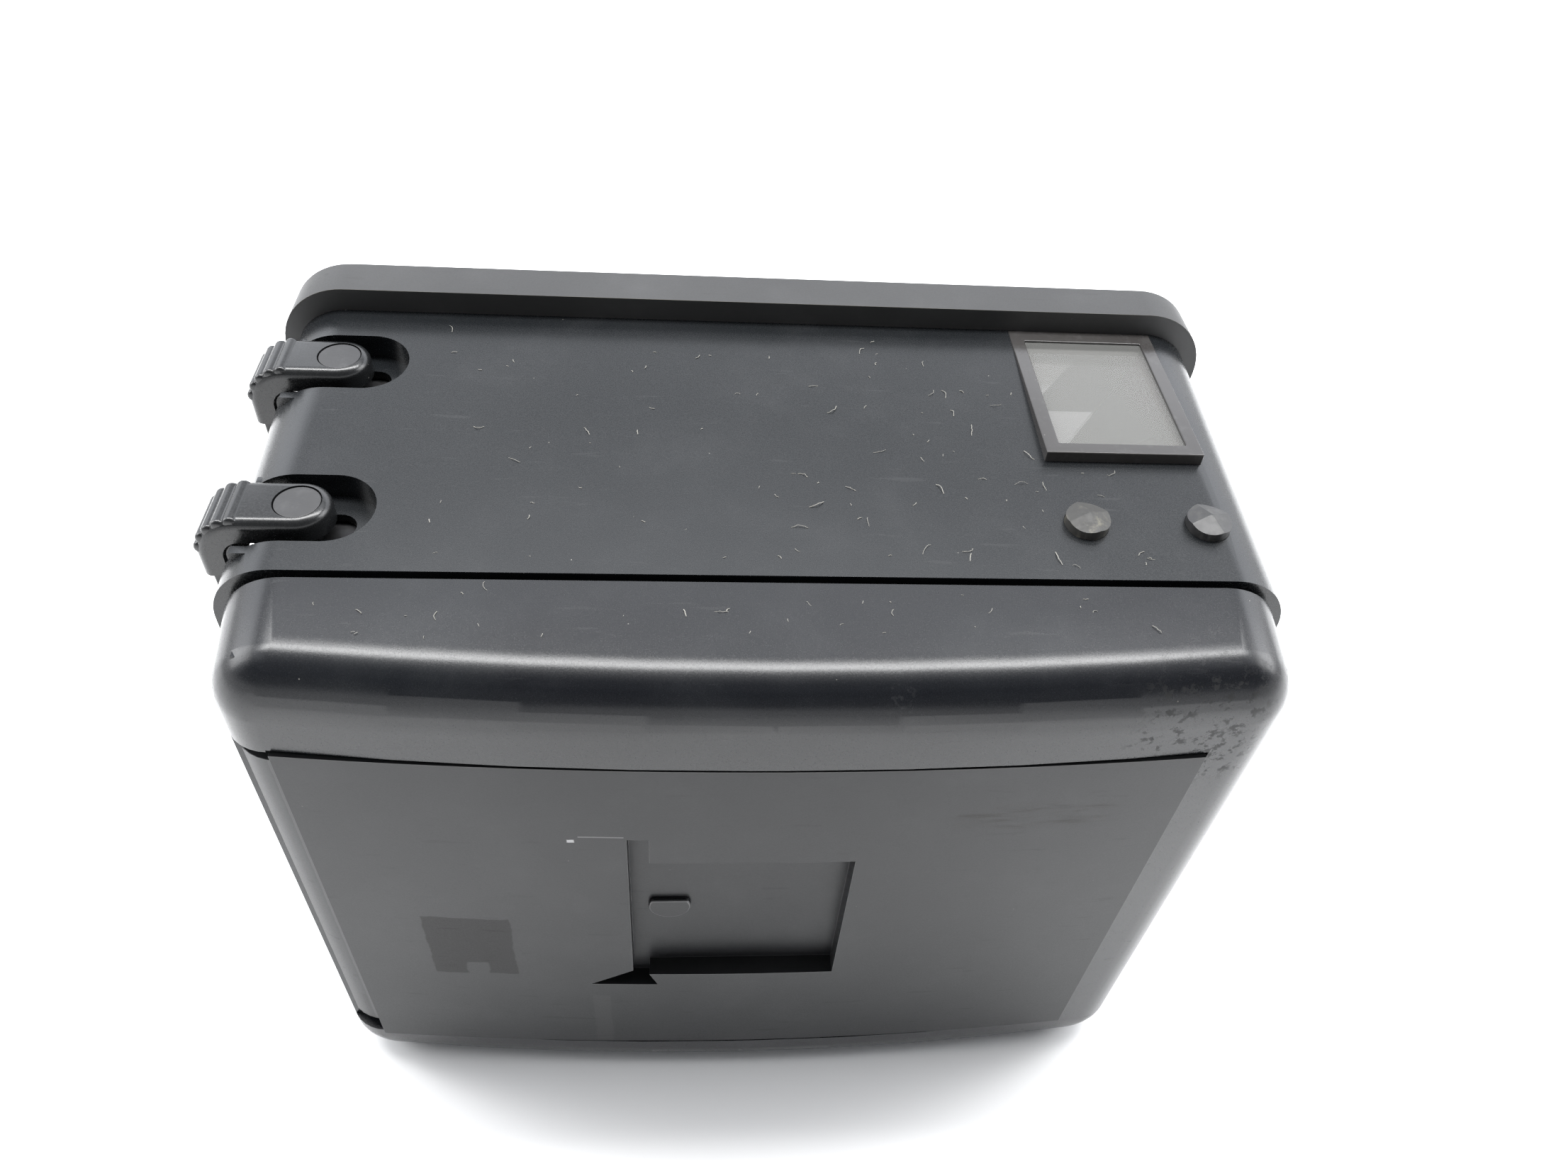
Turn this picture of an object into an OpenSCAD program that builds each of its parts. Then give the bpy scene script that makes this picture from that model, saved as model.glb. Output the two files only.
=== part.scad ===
// Roll-film magazine for a medium-format camera, standing on its base.
// +X right, +Y towards the camera (mount flange), +Z up. Millimetres.
// The origin is on the base plane, mid-width, half-way between seam and flange.

/* [Body] */
// Width of the housing at the mount flange
body_w = 136; // [130:0.5:180]
// Height of the housing at the mount flange
body_h = 104; // [102:0.5:140]
// Depth of the housing from the door seam to the mount flange
housing_d = 50.2; // [48:0.1:80]
// How far the top falls between the flange and the seam
top_drop = 2.8; // [1:0.1:4]
// How far each side draws in between the flange and the seam
side_draft = 1; // [0.5:0.1:2.5]
// Corner radius of the housing
corner_r = 8.5; // [5:0.5:12]
// Wall of the housing shell
wall = 2.2; // [1.8:0.1:2.8]

/* [Mount flange] */
// Thickness of the flange plate
flange_t = 6.9; // [6:0.1:9]
// How far the flange stands out past each side
flange_out = 1.5; // [0.5:0.1:4]
// How far the flange stands above the housing
flange_up = 3.4; // [1:0.1:6]
// Corner radius of the flange
flange_r = 10; // [6:0.5:14]

/* [Rear door] */
// Depth of the door from the seam to the middle of its back
door_d = 18.5; // [16:0.1:24]
// How far the middle of the back stands proud of its sides
door_crown = 3; // [1:0.1:4]
// How far the door is set in from the housing at each side
door_inset = 1.6; // [1:0.1:2]
// Open gap along the seam
seam_gap = 1.2; // [0.4:0.1:1.5]
// Fillet round the back of the door
door_fillet = 6.2; // [3:0.1:7]
// How far the door's top falls from the seam to its back
door_fall = 0.7; // [0:0.1:1.2]

/* [Film] */
// Width of the picture gate
gate_w = 76; // [56:1:80]
// Height of the picture gate
gate_h = 56; // [50:1:58]
// Length of a film spool over its flanges
spool_len = 65.5; // [60:0.1:72]
// Radius of the spool flanges
spool_r = 12.6; // [11:0.1:13.4]
// Radius of the spool core
spool_core_r = 5.5; // [4.5:0.1:7]
// Radius of the guide rollers
roller_r = 4; // [3:0.1:4.5]

/* [Display and buttons] */
// Width of the display bezel
bezel_w = 22; // [16:0.5:26]
// Depth of the display bezel
bezel_d = 28.9; // [20:0.1:32]
// Border round the display window
bezel_rim = 2.05; // [1.2:0.05:3]
// Diameter of a button
button_dia = 5.8; // [4:0.1:8]
// Distance between the two buttons
button_pitch = 16.2; // [12:0.1:22]
// How far a button travels
button_travel = 0.8; // [0.3:0.1:0.9]

/* [Latches] */
// Width of a latch arm
latch_w = 8.1; // [6:0.1:9]
// Width of the pocket that a latch arm slides in
latch_slot_w = 11.4; // [10:0.1:13]
// How far a latch slides inwards
latch_travel = 4; // [2:0.1:4.2]
// Length of the ribbed grip below the latch head
grip_len = 28; // [16:1:36]

/* [Memo holder] */
// Width of the memo window
memo_w = 30; // [24:0.5:34]
// Height of the memo window
memo_h = 32; // [24:0.5:36]
// Depth of the memo window
memo_depth = 2.9; // [2:0.1:3.2]

/* [Gears] */
// Gear module
gear_m = 0.8; // [0.6:0.05:0.9]
// Teeth on the take-up gear
take_up_teeth = 34; // [28:2:36]
// Teeth on the idler gear
idler_teeth = 20; // [16:2:24]
// Teeth on the drive gear
drive_teeth = 18; // [14:2:20]

/* [Fits] */
// Radial clearance of shafts, pins and plungers
run_clear = 0.05; // [0.02:0.01:0.09]
// Gap between sliding or swinging pieces
slide_gap = 0.3; // [0.2:0.05:0.5]

/* [Hidden] */
$fn = 48;
eps = 0.01;
big = 400;

hw = body_w / 2;
seam_hw = hw - side_draft;
yf = housing_d / 2;                 // rear face of the flange
ys = -housing_d / 2;                // door seam
top_slope = top_drop / housing_d;
function top_z(y) = body_h - (yf - y) * top_slope;

// inner frame: a cast box that holds the film chamber
frame_wall = 1.6;
side_bay = 2.7;
bottom_bay = 9.8;
top_bay = 12;
frame_hw = seam_hw - wall - side_bay;
frame_z0 = wall + bottom_bay;
frame_z1 = body_h - top_bay;
chamber_hw = frame_hw - frame_wall;
chamber_z0 = frame_z0 + frame_wall;
chamber_z1 = frame_z1 - frame_wall;
frame_y0 = ys + 0.6;
frame_y1 = yf - wall;
mask_t = 1.6;
film_y = frame_y1 - frame_wall - mask_t;   // plane in which the film lies

// film insert
plate_t = 2;
spool_play = 0.6;
insert_z0 = chamber_z0;
spool_z0 = insert_z0 + plate_t + spool_play;
insert_z1 = spool_z0 + spool_len + spool_play;  // underside of the top plate
insert_z2 = insert_z1 + plate_t;
gate_z = spool_z0 + spool_len / 2;
spool_x = chamber_hw - spool_r - 1.3;
spool_y = film_y - 21.6;
roller_x = min(spool_x - 5, gate_w / 2 + roller_r);
roller_y = film_y - roller_r - 0.2;
roller_shaft_r = 1.4;
core_hw = min(spool_x - spool_r - 2.4, roller_x - roller_r - 3);
core_wall = 1.2;
insert_hx = spool_x + spool_r + 0.6;    // insert plates
insert_y0 = spool_y - spool_r - 1;
insert_y1 = film_y - 0.6;
insert_screw_r = 1;
core_y0 = spool_y - spool_r;
core_y1 = film_y - 3.2;
press_t = 1.4;
press_hw = roller_x - roller_r - 1.1;
press_y1 = film_y - 0.2;
stud_r = 2.6;
stud_tip = 1.8;
stud_lift = 2.2;
stud_knob_r = 5;
stud_knob_h = 2.4;

// gears, on one straight line from the take-up spool to the window
gear_t = 4;
gear_z = frame_z0 - 1.6 - gear_t;
gear_boss_r = 3.2;
take_up_r = gear_m * take_up_teeth / 2;
idler_r = gear_m * idler_teeth / 2;
drive_r = gear_m * drive_teeth / 2;
drive_y = yf + flange_t - slide_gap - drive_r - gear_m;
train_len = take_up_r + 2 * idler_r + drive_r;
train_dy = drive_y - spool_y;
train_dx = sqrt(train_len * train_len - train_dy * train_dy);
train_a = atan2(train_dy, train_dx);
take_up_x = -spool_x;
idler_x = take_up_x + (take_up_r + idler_r) * cos(train_a);
idler_y = spool_y + (take_up_r + idler_r) * sin(train_a);
drive_x = take_up_x + train_dx;
shaft_r = 1.5;
drive_shaft_z0 = gear_z - 2.8;
drive_shaft_z1 = frame_z0 - 0.1;

// mount flange
locate_x = hw - 9;
locate_r = 2;
locate_d = 3;
screw_x = hw - 9;
screw_z0 = 9;
screw_z1 = body_h - 6;
screw_r = 1.25;
screw_head_r = 2.4;
screw_sink = 1.4;
light_trap_d = 1.5;
slot_y = yf + 2.4;                  // dark slide slot
contact_x = hw - 34;
contact_z = frame_z0 / 2 + 0.4;
contact_n = 5;
contact_pitch = 3.2;
contact_r = 0.8;
contact_w = contact_n * contact_pitch + 2;
function contact_at(i) = contact_x + (i - (contact_n - 1) / 2) * contact_pitch;

// display, board and buttons
bezel_x = hw - 18.9;
bezel_y1 = yf;
bezel_y0 = yf - bezel_d;
bezel_y = (bezel_y0 + bezel_y1) / 2;
bezel_h = 3.4;
glass_t = 1;
glass_drop = 0.3;
lcd_t = 1;
lcd_z = body_h - bezel_h - lcd_t;
board_t = 1.2;
board_z = body_h - 8.6;
board_x0 = bezel_x - 46;
board_x1 = bezel_x + bezel_w / 2 + 0.5;
board_y1 = frame_y1 - 0.4;
button_r = button_dia / 2;
button_x = bezel_x + 0.3;
button_y = ys + 9.6;
button_proud = 1;
button_cone = 1;
board_y0 = button_y - 5.5;
button_collar_z = top_z(button_y - button_r - 1) - wall - 0.1;
button_collar_t = 0.6;
button_collar = 0.9;                // collar past the button's side

// coin cell on the board
cell_r = 10;
cell_t = 2.5;
cell_x = board_x0 + cell_r + 4;
cell_y = (board_y0 + board_y1) / 2 + 3;
cell_z = board_z + board_t + 0.3;

// latches
front_latch_y = ys + 38.6;
rear_latch_y = ys + 10.3;
latch_arm_t = 3.2;
latch_proud = 0.9;
latch_leg_t = 2.4;
latch_side_proud = 2.8;
latch_leg_h = 8.2;
latch_pin_x = 9.6;                  // pin centre, in from the local wall
latch_end_r = latch_w / 2;
pocket_d = 3;
pocket_floor_t = 1.2;
latch_cap_r = 2.8;
latch_pin_r = 2;
slider_t = 1.2;
bolt_x0 = 4;                        // bolt of the front latch, from the pin
bolt_x1 = 8;
hook_x0 = -5;                       // hook of the rear latch, from the pin
hook_x1 = -1;
slider_end = 9;
catch_reach = 5;                    // hook on the door, from the seam
spring_seat_x = 16.8;
grip_inset = 1;
grip_t = 1.6;
grip_w = latch_w - 0.8;
rib_pitch = 4.7;
function wall_x(y) = seam_hw + (hw - seam_hw) * (y - ys) / housing_d;
function arm_top(y) = top_z(y) + latch_proud;
function pin_x(y) = -(wall_x(y) - latch_pin_x);
function pocket_z(y) = top_z(y - latch_slot_w / 2) - pocket_d;
function slider_z(y) = pocket_z(y) - pocket_floor_t - slide_gap - slider_t;
catch_x = pin_x(rear_latch_y) + hook_x1 + 2;

// rear door
door_hw = seam_hw - door_inset;
door_back_hw = door_hw - 0.8;
door_h = body_h - top_drop;
door_y0 = ys - door_d;              // middle of the back
door_side_y = door_y0 + door_crown; // ends of the back
crown_r = (door_back_hw * door_back_hw + door_crown * door_crown) / (2 * door_crown);
function crown_y(x) = door_y0 + crown_r - sqrt(crown_r * crown_r - x * x);
hinge_x = seam_hw + 0.2;
hinge_y = ys;
hinge_r = 2.2;
hinge_pin_r = 0.9;
hinge_z0 = 22;
hinge_z1 = body_h - 22;
hinge_n = 5;
hinge_step = (hinge_z1 - hinge_z0) / hinge_n;

// back cover plate and dark slide pocket
plate_x0 = -(door_back_hw - 6.2);
plate_x1 = door_back_hw - 10.2;
plate_z0 = 9.8;
plate_z1 = body_h - 17.4;
plate_gap = 0.35;
plate_y1 = door_y0 + 4;             // inner face of the plate
slide_slot_t = 1;
slide_t = 0.6;
handle_sink = 1;
slide_h = min(64, plate_z1 - plate_z0 - 10);
slide_z = (plate_z0 + plate_z1) / 2;
slide_y = plate_y1 + 0.2;
slide_x0 = plate_x0 + 0.4;
slide_x1 = plate_x1 - 3;
door_skin = 2;
skin_y = plate_y1 + slide_slot_t + door_skin;   // inner face of the door's back
memo_x = -2.4;
memo_z0 = plate_z0 + 24.2;
memo_floor_y = door_y0 + memo_depth;
memo_tab_w = 2.8;
memo_tab_h = 5.5;
plate_screw_r = 0.8;
plate_screw_head_r = 1.2;
handle_z0 = plate_z0 + 2.6;
handle_z1 = plate_z1 - 2.6;

// ---------- helpers ----------

// plate lying in XZ between two y values
module slab(x0, x1, y0, y1, z0, z1) {
  translate([x0, y0, z0]) cube([x1 - x0, y1 - y0, z1 - z0]);
}

// profile drawn in X and Z, extruded along +Y from y0 to y1
module along_y(y0, y1) {
  translate([0, y1, 0]) rotate([90, 0, 0]) linear_extrude(y1 - y0) children();
}

module rod_x(x0, x1, y, z, r) {
  translate([x0, y, z]) rotate([0, 90, 0]) cylinder(r = r, h = x1 - x0);
}

module rod_y(x, y0, y1, z, r) {
  translate([x, y0, z]) rotate([-90, 0, 0]) cylinder(r = r, h = y1 - y0);
}

module rod_z(x, y, z0, z1, r) {
  translate([x, y, z0]) cylinder(r = r, h = z1 - z0);
}

// rectangle with all four corners round, made of exact circles
module round_rect(w, h, r) {
  union() {
    translate([-w / 2, r]) square([w, h - 2 * r]);
    translate([-w / 2 + r, 0]) square([w - 2 * r, h]);
    for (sx = [-1, 1]) for (cz = [r, h - r])
      translate([sx * (w / 2 - r), cz]) circle(r);
  }
}

// close-wound compression spring: rings of wire that just run into each other
module close_wound_spring(r, wire, len) {
  turns = floor((len - 2 * wire) / (1.8 * wire)) + 1;
  for (i = [0 : turns - 1])
    translate([0, 0, wire + i * 1.8 * wire]) rotate_extrude() translate([r, 0]) circle(wire, $fn = 16);
}

function tooth(n, rp, m, i) =
  let (a = i * 360 / n, p = 360 / n)
  [
    [(rp - 1.25 * m) * cos(a - p * 0.30), (rp - 1.25 * m) * sin(a - p * 0.30)],
    [rp * cos(a - p * 0.215), rp * sin(a - p * 0.215)],
    [(rp + 0.85 * m) * cos(a - p * 0.10), (rp + 0.85 * m) * sin(a - p * 0.10)],
    [(rp + 0.85 * m) * cos(a + p * 0.10), (rp + 0.85 * m) * sin(a + p * 0.10)],
    [rp * cos(a + p * 0.215), rp * sin(a + p * 0.215)],
    [(rp - 1.25 * m) * cos(a + p * 0.30), (rp - 1.25 * m) * sin(a + p * 0.30)]
  ];

// spur gear with tooth 0 pointing along +X, then turned by phase
module spur(n, m, t, phase) {
  rp = m * n / 2;
  rotate([0, 0, phase]) linear_extrude(t)
    polygon([for (i = [0 : n - 1]) for (q = tooth(n, rp, m, i)) q]);
}

// outer form of the housing, drawn in towards the seam
module housing_form() {
  hull() {
    along_y(yf - eps, yf) round_rect(2 * hw, body_h, corner_r, $fn = 64);
    along_y(ys, ys + eps) round_rect(2 * seam_hw, body_h - top_drop, corner_r, $fn = 64);
  }
}

// inner form of the housing shell, wall thickness inside the outer form
module housing_hollow() {
  hull() {
    translate([0, 0, wall]) along_y(yf - wall - eps, yf - wall)
      round_rect(2 * (hw - wall), body_h - 2 * wall - wall * top_slope, corner_r - wall, $fn = 48);
    translate([0, 0, wall]) along_y(ys - 1, ys - 1 + eps)
      round_rect(2 * (seam_hw - wall), body_h - top_drop - 2 * wall - top_slope, corner_r - wall, $fn = 48);
  }
}

// pocket for a latch arm in the top, and the channel down the left side
module latch_pocket(y) {
  px = pin_x(y);
  half = latch_slot_w / 2;
  end_x = px + latch_end_r + latch_travel + 1.2;
  translate([-big / 2, y - half, pocket_z(y)]) cube([big / 2 + end_x - half, latch_slot_w, 20]);
  rod_z(end_x - half, y, pocket_z(y), pocket_z(y) + 20, half);
  // through slot for the pin
  slab(px, px + latch_travel, y - latch_pin_r - slide_gap, y + latch_pin_r + slide_gap,
    pocket_z(y) - 4, pocket_z(y) + 1);
  for (dx = [0, latch_travel])
    rod_z(px + dx, y, pocket_z(y) - 4, pocket_z(y) + 1, latch_pin_r + slide_gap);
  // channel for the leg and the grip
  slab(-hw - 2, -frame_hw - 0.15, y - half, y + half, grip_z0(y) - 1.2, pocket_z(y) + 1);
  slab(-hw - 2, px - latch_pin_r - 1.1, y - half, y + half, frame_z1 + slide_gap, pocket_z(y) + 1);
}

// extra thickness under a latch pocket, and the seat of its return spring
module latch_boss(y) {
  half = latch_slot_w / 2 + 1.2;
  slab(pin_x(y) + spring_seat_x, pin_x(y) + spring_seat_x + 1.4, y - 3, y + 3,
    slider_z(y) - 1.2, top_z(y) - wall * 0.6);
  slab(-(wall_x(y) - wall - 0.5), pin_x(y) + latch_end_r + latch_travel + 2.4, y - half, y + half,
    pocket_z(y) - pocket_floor_t, top_z(y) - wall * 0.6);
}

function grip_z1(y) = top_z(y) - latch_leg_h;
function grip_z0(y) = grip_z1(y) - grip_len;

// ---------- root body ----------

module housing_shell() color("#1b1c1e") difference() {
  union() {
    difference() {
      housing_form();
      housing_hollow();
    }
    latch_boss(front_latch_y);
    latch_boss(rear_latch_y);
    hinge_knuckles(0, 1);
    frame_posts();
  }
  // picture opening
  slab(-gate_w / 2 - 3, gate_w / 2 + 3, yf - wall - 1, yf + 1,
    gate_z - gate_h / 2 - 3, gate_z + gate_h / 2 + 3);
  // display and buttons
  slab(bezel_x - bezel_w / 2, bezel_x + bezel_w / 2, bezel_y0, yf + 1, body_h - bezel_h - 2, body_h + 2);
  for (s = [-1, 1]) {
    rod_z(button_x + s * button_pitch / 2, button_y, body_h - 12, body_h + 2, button_r + run_clear);
    // room for the collar where the corner of the shell curves down
    rod_z(button_x + s * button_pitch / 2, button_y, button_collar_z - 4, button_collar_z + 0.1,
      button_r + button_collar + slide_gap);
  }
  latch_pocket(front_latch_y);
  latch_pocket(rear_latch_y);
  bolt_window(yf - wall - 1, yf + 1);
  // drive gear window and its shaft
  drive_window(yf - wall - 1, yf + 1);
  rod_z(drive_x, drive_y, drive_shaft_z0, drive_shaft_z1, shaft_r);
  contact_window(yf - wall - 1, yf + 1);
  hinge_reliefs(1);
  rod_z(hinge_x, hinge_y, hinge_z0 - 1, hinge_z1 + 1, hinge_pin_r);
  flange_screw_bores(yf - wall - 1, yf + 1, screw_r);
}

// posts that carry the inner frame over the gear bay
module frame_posts() {
  for (sx = [-1, 1]) for (sy = [-1, 1])
    rod_z(sx * (frame_hw - 6.6), sy * (housing_d / 2 - 7), wall - 0.5, frame_z0, 3);
}

module drive_window(y0, y1) {
  slab(drive_x - drive_r - gear_m - 0.8, drive_x + drive_r + gear_m + 0.8, y0, y1,
    gear_z - 0.6, gear_z + gear_t + 0.6);
}

module contact_window(y0, y1) {
  slab(contact_x - contact_w / 2, contact_x + contact_w / 2, y0, y1, contact_z - 2.5, contact_z + 2.5);
}

module flange_screw_spots() {
  for (sx = [-1, 1]) for (z = [screw_z0, screw_z1]) translate([sx * screw_x, 0, z]) children();
}
module flange_screw_bores(y0, y1, r) {
  flange_screw_spots() rod_y(0, y0, y1, 0, r);
}

module mount_flange() color("#1d1e20") difference() {
  along_y(yf, yf + flange_t) round_rect(2 * (hw + flange_out), body_h + flange_up, flange_r, $fn = 96);
  // picture opening, opening out towards the camera
  slab(-gate_w / 2 - 3, gate_w / 2 + 3, yf - 1, yf + flange_t + 1,
    gate_z - gate_h / 2 - 3, gate_z + gate_h / 2 + 3);
  // recessed light trap face
  slab(-gate_w / 2 - 8, gate_w / 2 + 8, yf + flange_t - light_trap_d, yf + flange_t + 1,
    gate_z - gate_h / 2 - 8, gate_z + gate_h / 2 + 8);
  // slot that the dark slide goes in by
  slab(-big, gate_w / 2 + 6, slot_y, slot_y + slide_slot_t,
    gate_z - slide_h / 2 - 0.5, gate_z + slide_h / 2 + 0.5);
  // pocket of the light seal
  slab(-gate_w / 2 - 16, -gate_w / 2 - 10, slot_y + slide_slot_t - eps, slot_y + slide_slot_t + 1,
    gate_z - slide_h / 2, gate_z + slide_h / 2);
  // locating holes
  for (sx = [-1, 1]) rod_y(sx * locate_x, yf + flange_t - locate_d, yf + flange_t + 1, gate_z, locate_r);
  // hook slots that the camera's catches enter
  for (z = [gate_z - 18, gate_z + 18])
    slab(hw - 8, hw - 3, yf + flange_t - 4, yf + flange_t + 1, z - 5, z + 5);
  bolt_window(yf - 1, yf + flange_t + 1);
  drive_window(yf - 1, yf + flange_t + 1);
  rod_z(drive_x, drive_y, drive_shaft_z0, drive_shaft_z1, shaft_r);
  contact_window(yf - 1, yf + flange_t + 1);
  flange_screw_bores(yf - 1, yf + flange_t + 1, screw_r);
  flange_screw_bores(yf + flange_t - screw_sink, yf + flange_t + 1, screw_head_r + run_clear);
}

// slot that the front latch's bolt passes through and slides in
module bolt_window(y0, y1) {
  x = pin_x(front_latch_y);
  z = slider_z(front_latch_y);
  slab(x + bolt_x0 - slide_gap, x + bolt_x1 + latch_travel + slide_gap, y0, y1,
    z - slide_gap, z + slider_t + slide_gap);
}

module inner_frame() color("#26272a") difference() {
  slab(-frame_hw, frame_hw, frame_y0, frame_y1, frame_z0, frame_z1);
  slab(-chamber_hw, chamber_hw, frame_y0 - 1, frame_y1 - frame_wall, chamber_z0, chamber_z1);
  slab(-gate_w / 2 - 2, gate_w / 2 + 2, frame_y0, frame_y1 + 1,
    gate_z - gate_h / 2 - 2, gate_z + gate_h / 2 + 2);
  // bore of the take-up gear's hub
  rod_z(take_up_x, spool_y, frame_z0 - 1, chamber_z0 + 1, stud_r + run_clear);
}

module gate_mask() color("#2b2c2f") difference() {
  union() {
    slab(-gate_w / 2 - 4, gate_w / 2 + 4, film_y + 0.4, film_y + mask_t,
      gate_z - gate_h / 2 - 5, gate_z + gate_h / 2 + 5);
    // film rails above and below the gate
    for (s = [-1, 1])
      slab(-gate_w / 2 - 4, gate_w / 2 + 4, film_y, film_y + 0.4 + eps,
        gate_z + s * (gate_h / 2 + 1.7) - 0.9, gate_z + s * (gate_h / 2 + 1.7) + 0.9);
  }
  slab(-gate_w / 2, gate_w / 2, film_y - 1, film_y + mask_t + 1, gate_z - gate_h / 2, gate_z + gate_h / 2);
}

module slide_light_seal() color("#161616")
  slab(-gate_w / 2 - 15.8, -gate_w / 2 - 10.2, slot_y + slide_slot_t + 0.1, slot_y + slide_slot_t + 0.9,
    gate_z - slide_h / 2 + 0.2, gate_z + slide_h / 2 - 0.2);

module lcd_bezel() color("#2a2a2c") difference() {
  slab(bezel_x - bezel_w / 2, bezel_x + bezel_w / 2, bezel_y0, bezel_y1, body_h - bezel_h, body_h);
  slab(bezel_x - bezel_w / 2 + bezel_rim, bezel_x + bezel_w / 2 - bezel_rim,
    bezel_y0 + bezel_rim, bezel_y1 - bezel_rim - 0.6, body_h - bezel_h - 1, body_h + 1);
  // rebate that the window drops into
  slab(bezel_x - bezel_w / 2 + bezel_rim - 0.6, bezel_x + bezel_w / 2 - bezel_rim + 0.6,
    bezel_y0 + bezel_rim - 0.6, bezel_y1 - bezel_rim, body_h - bezel_h - 1, body_h - glass_drop);
}

module lcd_window() color("#cfd2cb80")
  slab(bezel_x - bezel_w / 2 + bezel_rim - 0.55, bezel_x + bezel_w / 2 - bezel_rim + 0.55,
    bezel_y0 + bezel_rim - 0.55, bezel_y1 - bezel_rim - 0.05,
    body_h - glass_drop - glass_t, body_h - glass_drop);

module lcd_panel() color("#c5c8bb")
  slab(bezel_x - bezel_w / 2 + 0.6, bezel_x + bezel_w / 2 - 0.6,
    bezel_y0 + 0.6, board_y1, lcd_z, lcd_z + lcd_t);

module lcd_contact_strips() color("#8a6d76")
  for (y = [bezel_y0 + 1.6, board_y1 - 2.6])
    slab(bezel_x - bezel_w / 2 + 1.5, bezel_x + bezel_w / 2 - 1.5, y, y + 1.6, board_z + board_t, lcd_z);

module circuit_board() color("#1f5a3c") difference() {
  slab(board_x0, board_x1, board_y0, board_y1, board_z, board_z + board_t);
  for (x = [board_x0 + 3, board_x1 - 3]) rod_z(x, board_y0 + 3, board_z - 1, board_z + board_t + 1, 1.1);
}

module coin_cell() color("#c9cacb")
  rod_z(cell_x, cell_y, cell_z, cell_z + cell_t, cell_r);

module cell_clip() color("#b9a36a") union() {
  slab(cell_x - 3, cell_x + 3, cell_y - cell_r - 2, cell_y + cell_r + 2, board_z + board_t, cell_z);
  for (s = [-1, 1])
    slab(cell_x - 3, cell_x + 3, cell_y + s * (cell_r + 1.4) - 0.25, cell_y + s * (cell_r + 1.4) + 0.25,
      board_z + board_t, board_z + board_t + 2.9);
}

module dome_switches() color("#c8c9ca")
  for (s = [-1, 1]) translate([button_x + s * button_pitch / 2, button_y, board_z + board_t]) union() {
    translate([-2.4, -2.4, 0]) cube([4.8, 4.8, 0.5]);
    cylinder(r = 1.6, h = 0.9);
  }

module contact_block() color("#202022") difference() {
  slab(contact_x - contact_w / 2 + 0.1, contact_x + contact_w / 2 - 0.1, yf - wall - 3, yf + flange_t - 0.8,
    contact_z - 2.4, contact_z + 2.4);
  for (i = [0 : contact_n - 1])
    rod_y(contact_at(i), yf - wall - 4, yf + flange_t, contact_z, contact_r);
}

module contact_pins() color("#d4b45a")
  for (i = [0 : contact_n - 1])
    rod_y(contact_at(i), yf - wall - 3.6, yf + flange_t - 0.2, contact_z, contact_r);

module flange_screws() color("#3a3b3d")
  flange_screw_spots() difference() {
    union() {
      rod_y(0, yf - wall - 0.8, yf + flange_t - screw_sink + eps, 0, screw_r);
      rod_y(0, yf + flange_t - screw_sink, yf + flange_t - 0.2, 0, screw_head_r);
    }
    for (a = [0, 90]) rotate([0, a, 0]) slab(-1.3, 1.3, yf + flange_t - 0.9, yf + flange_t, -0.25, 0.25);
  }

// every other knuckle from number first; side is 1 on the housing and -1 on the door
module hinge_knuckles(first, side) {
  for (i = [first : 2 : hinge_n - 1]) {
    z0 = hinge_z0 + i * hinge_step + slide_gap / 2;
    z1 = z0 + hinge_step - slide_gap;
    rod_z(hinge_x, hinge_y, z0, z1, hinge_r);
    mid_y = hinge_y + side * 1.7;
    slab(hinge_x - 2.6, hinge_x, mid_y - 1.3, mid_y + 1.3, z0, z1);
  }
}

// room round the knuckles of the other leaf
module hinge_reliefs(first) {
  for (i = [first : 2 : hinge_n - 1]) {
    z0 = hinge_z0 + i * hinge_step - slide_gap / 2;
    rod_z(hinge_x, hinge_y, z0, z0 + hinge_step + slide_gap, hinge_r + slide_gap);
  }
}

module hinge_pin() color("#8f9194")
  rod_z(hinge_x, hinge_y, hinge_z0 - 0.6, hinge_z1 + 0.6, hinge_pin_r);

module door_light_seal() color("#151515") difference() {
  slab(-frame_hw + 0.1, frame_hw - 0.1, ys - 0.5, frame_y0, frame_z0 + 0.1, frame_z1 - 0.1);
  slab(-chamber_hw, chamber_hw, ys - 1, frame_y0 + 1, chamber_z0, chamber_z1);
}

module gear_shafts() color("#a9abad") {
  rod_z(idler_x, idler_y, wall, frame_z0, shaft_r);
  rod_z(drive_x, drive_y, drive_shaft_z0, drive_shaft_z1, shaft_r);
}

// ---------- film insert ----------

module insert_plate(z0, supply_bore_r) difference() {
  slab(-insert_hx, insert_hx, insert_y0, insert_y1, z0, z0 + plate_t);
  rod_z(-spool_x, spool_y, z0 - 1, z0 + plate_t + 1, stud_r + run_clear);
  rod_z(spool_x, spool_y, z0 - 1, z0 + plate_t + 1, supply_bore_r);
  for (s = [-1, 1]) rod_z(s * roller_x, roller_y, z0 - 1, z0 + plate_t + 1, roller_shaft_r);
  for (s = [-1, 1]) rod_z(s * (core_hw - 4), core_y0 + 5, z0 - 1, z0 + plate_t + 1, insert_screw_r);
}

module insert_base_plate() color("#3b3c40") insert_plate(insert_z0, stud_r);
module insert_top_plate() color("#3b3c40") insert_plate(insert_z1, stud_r + run_clear);

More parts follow.
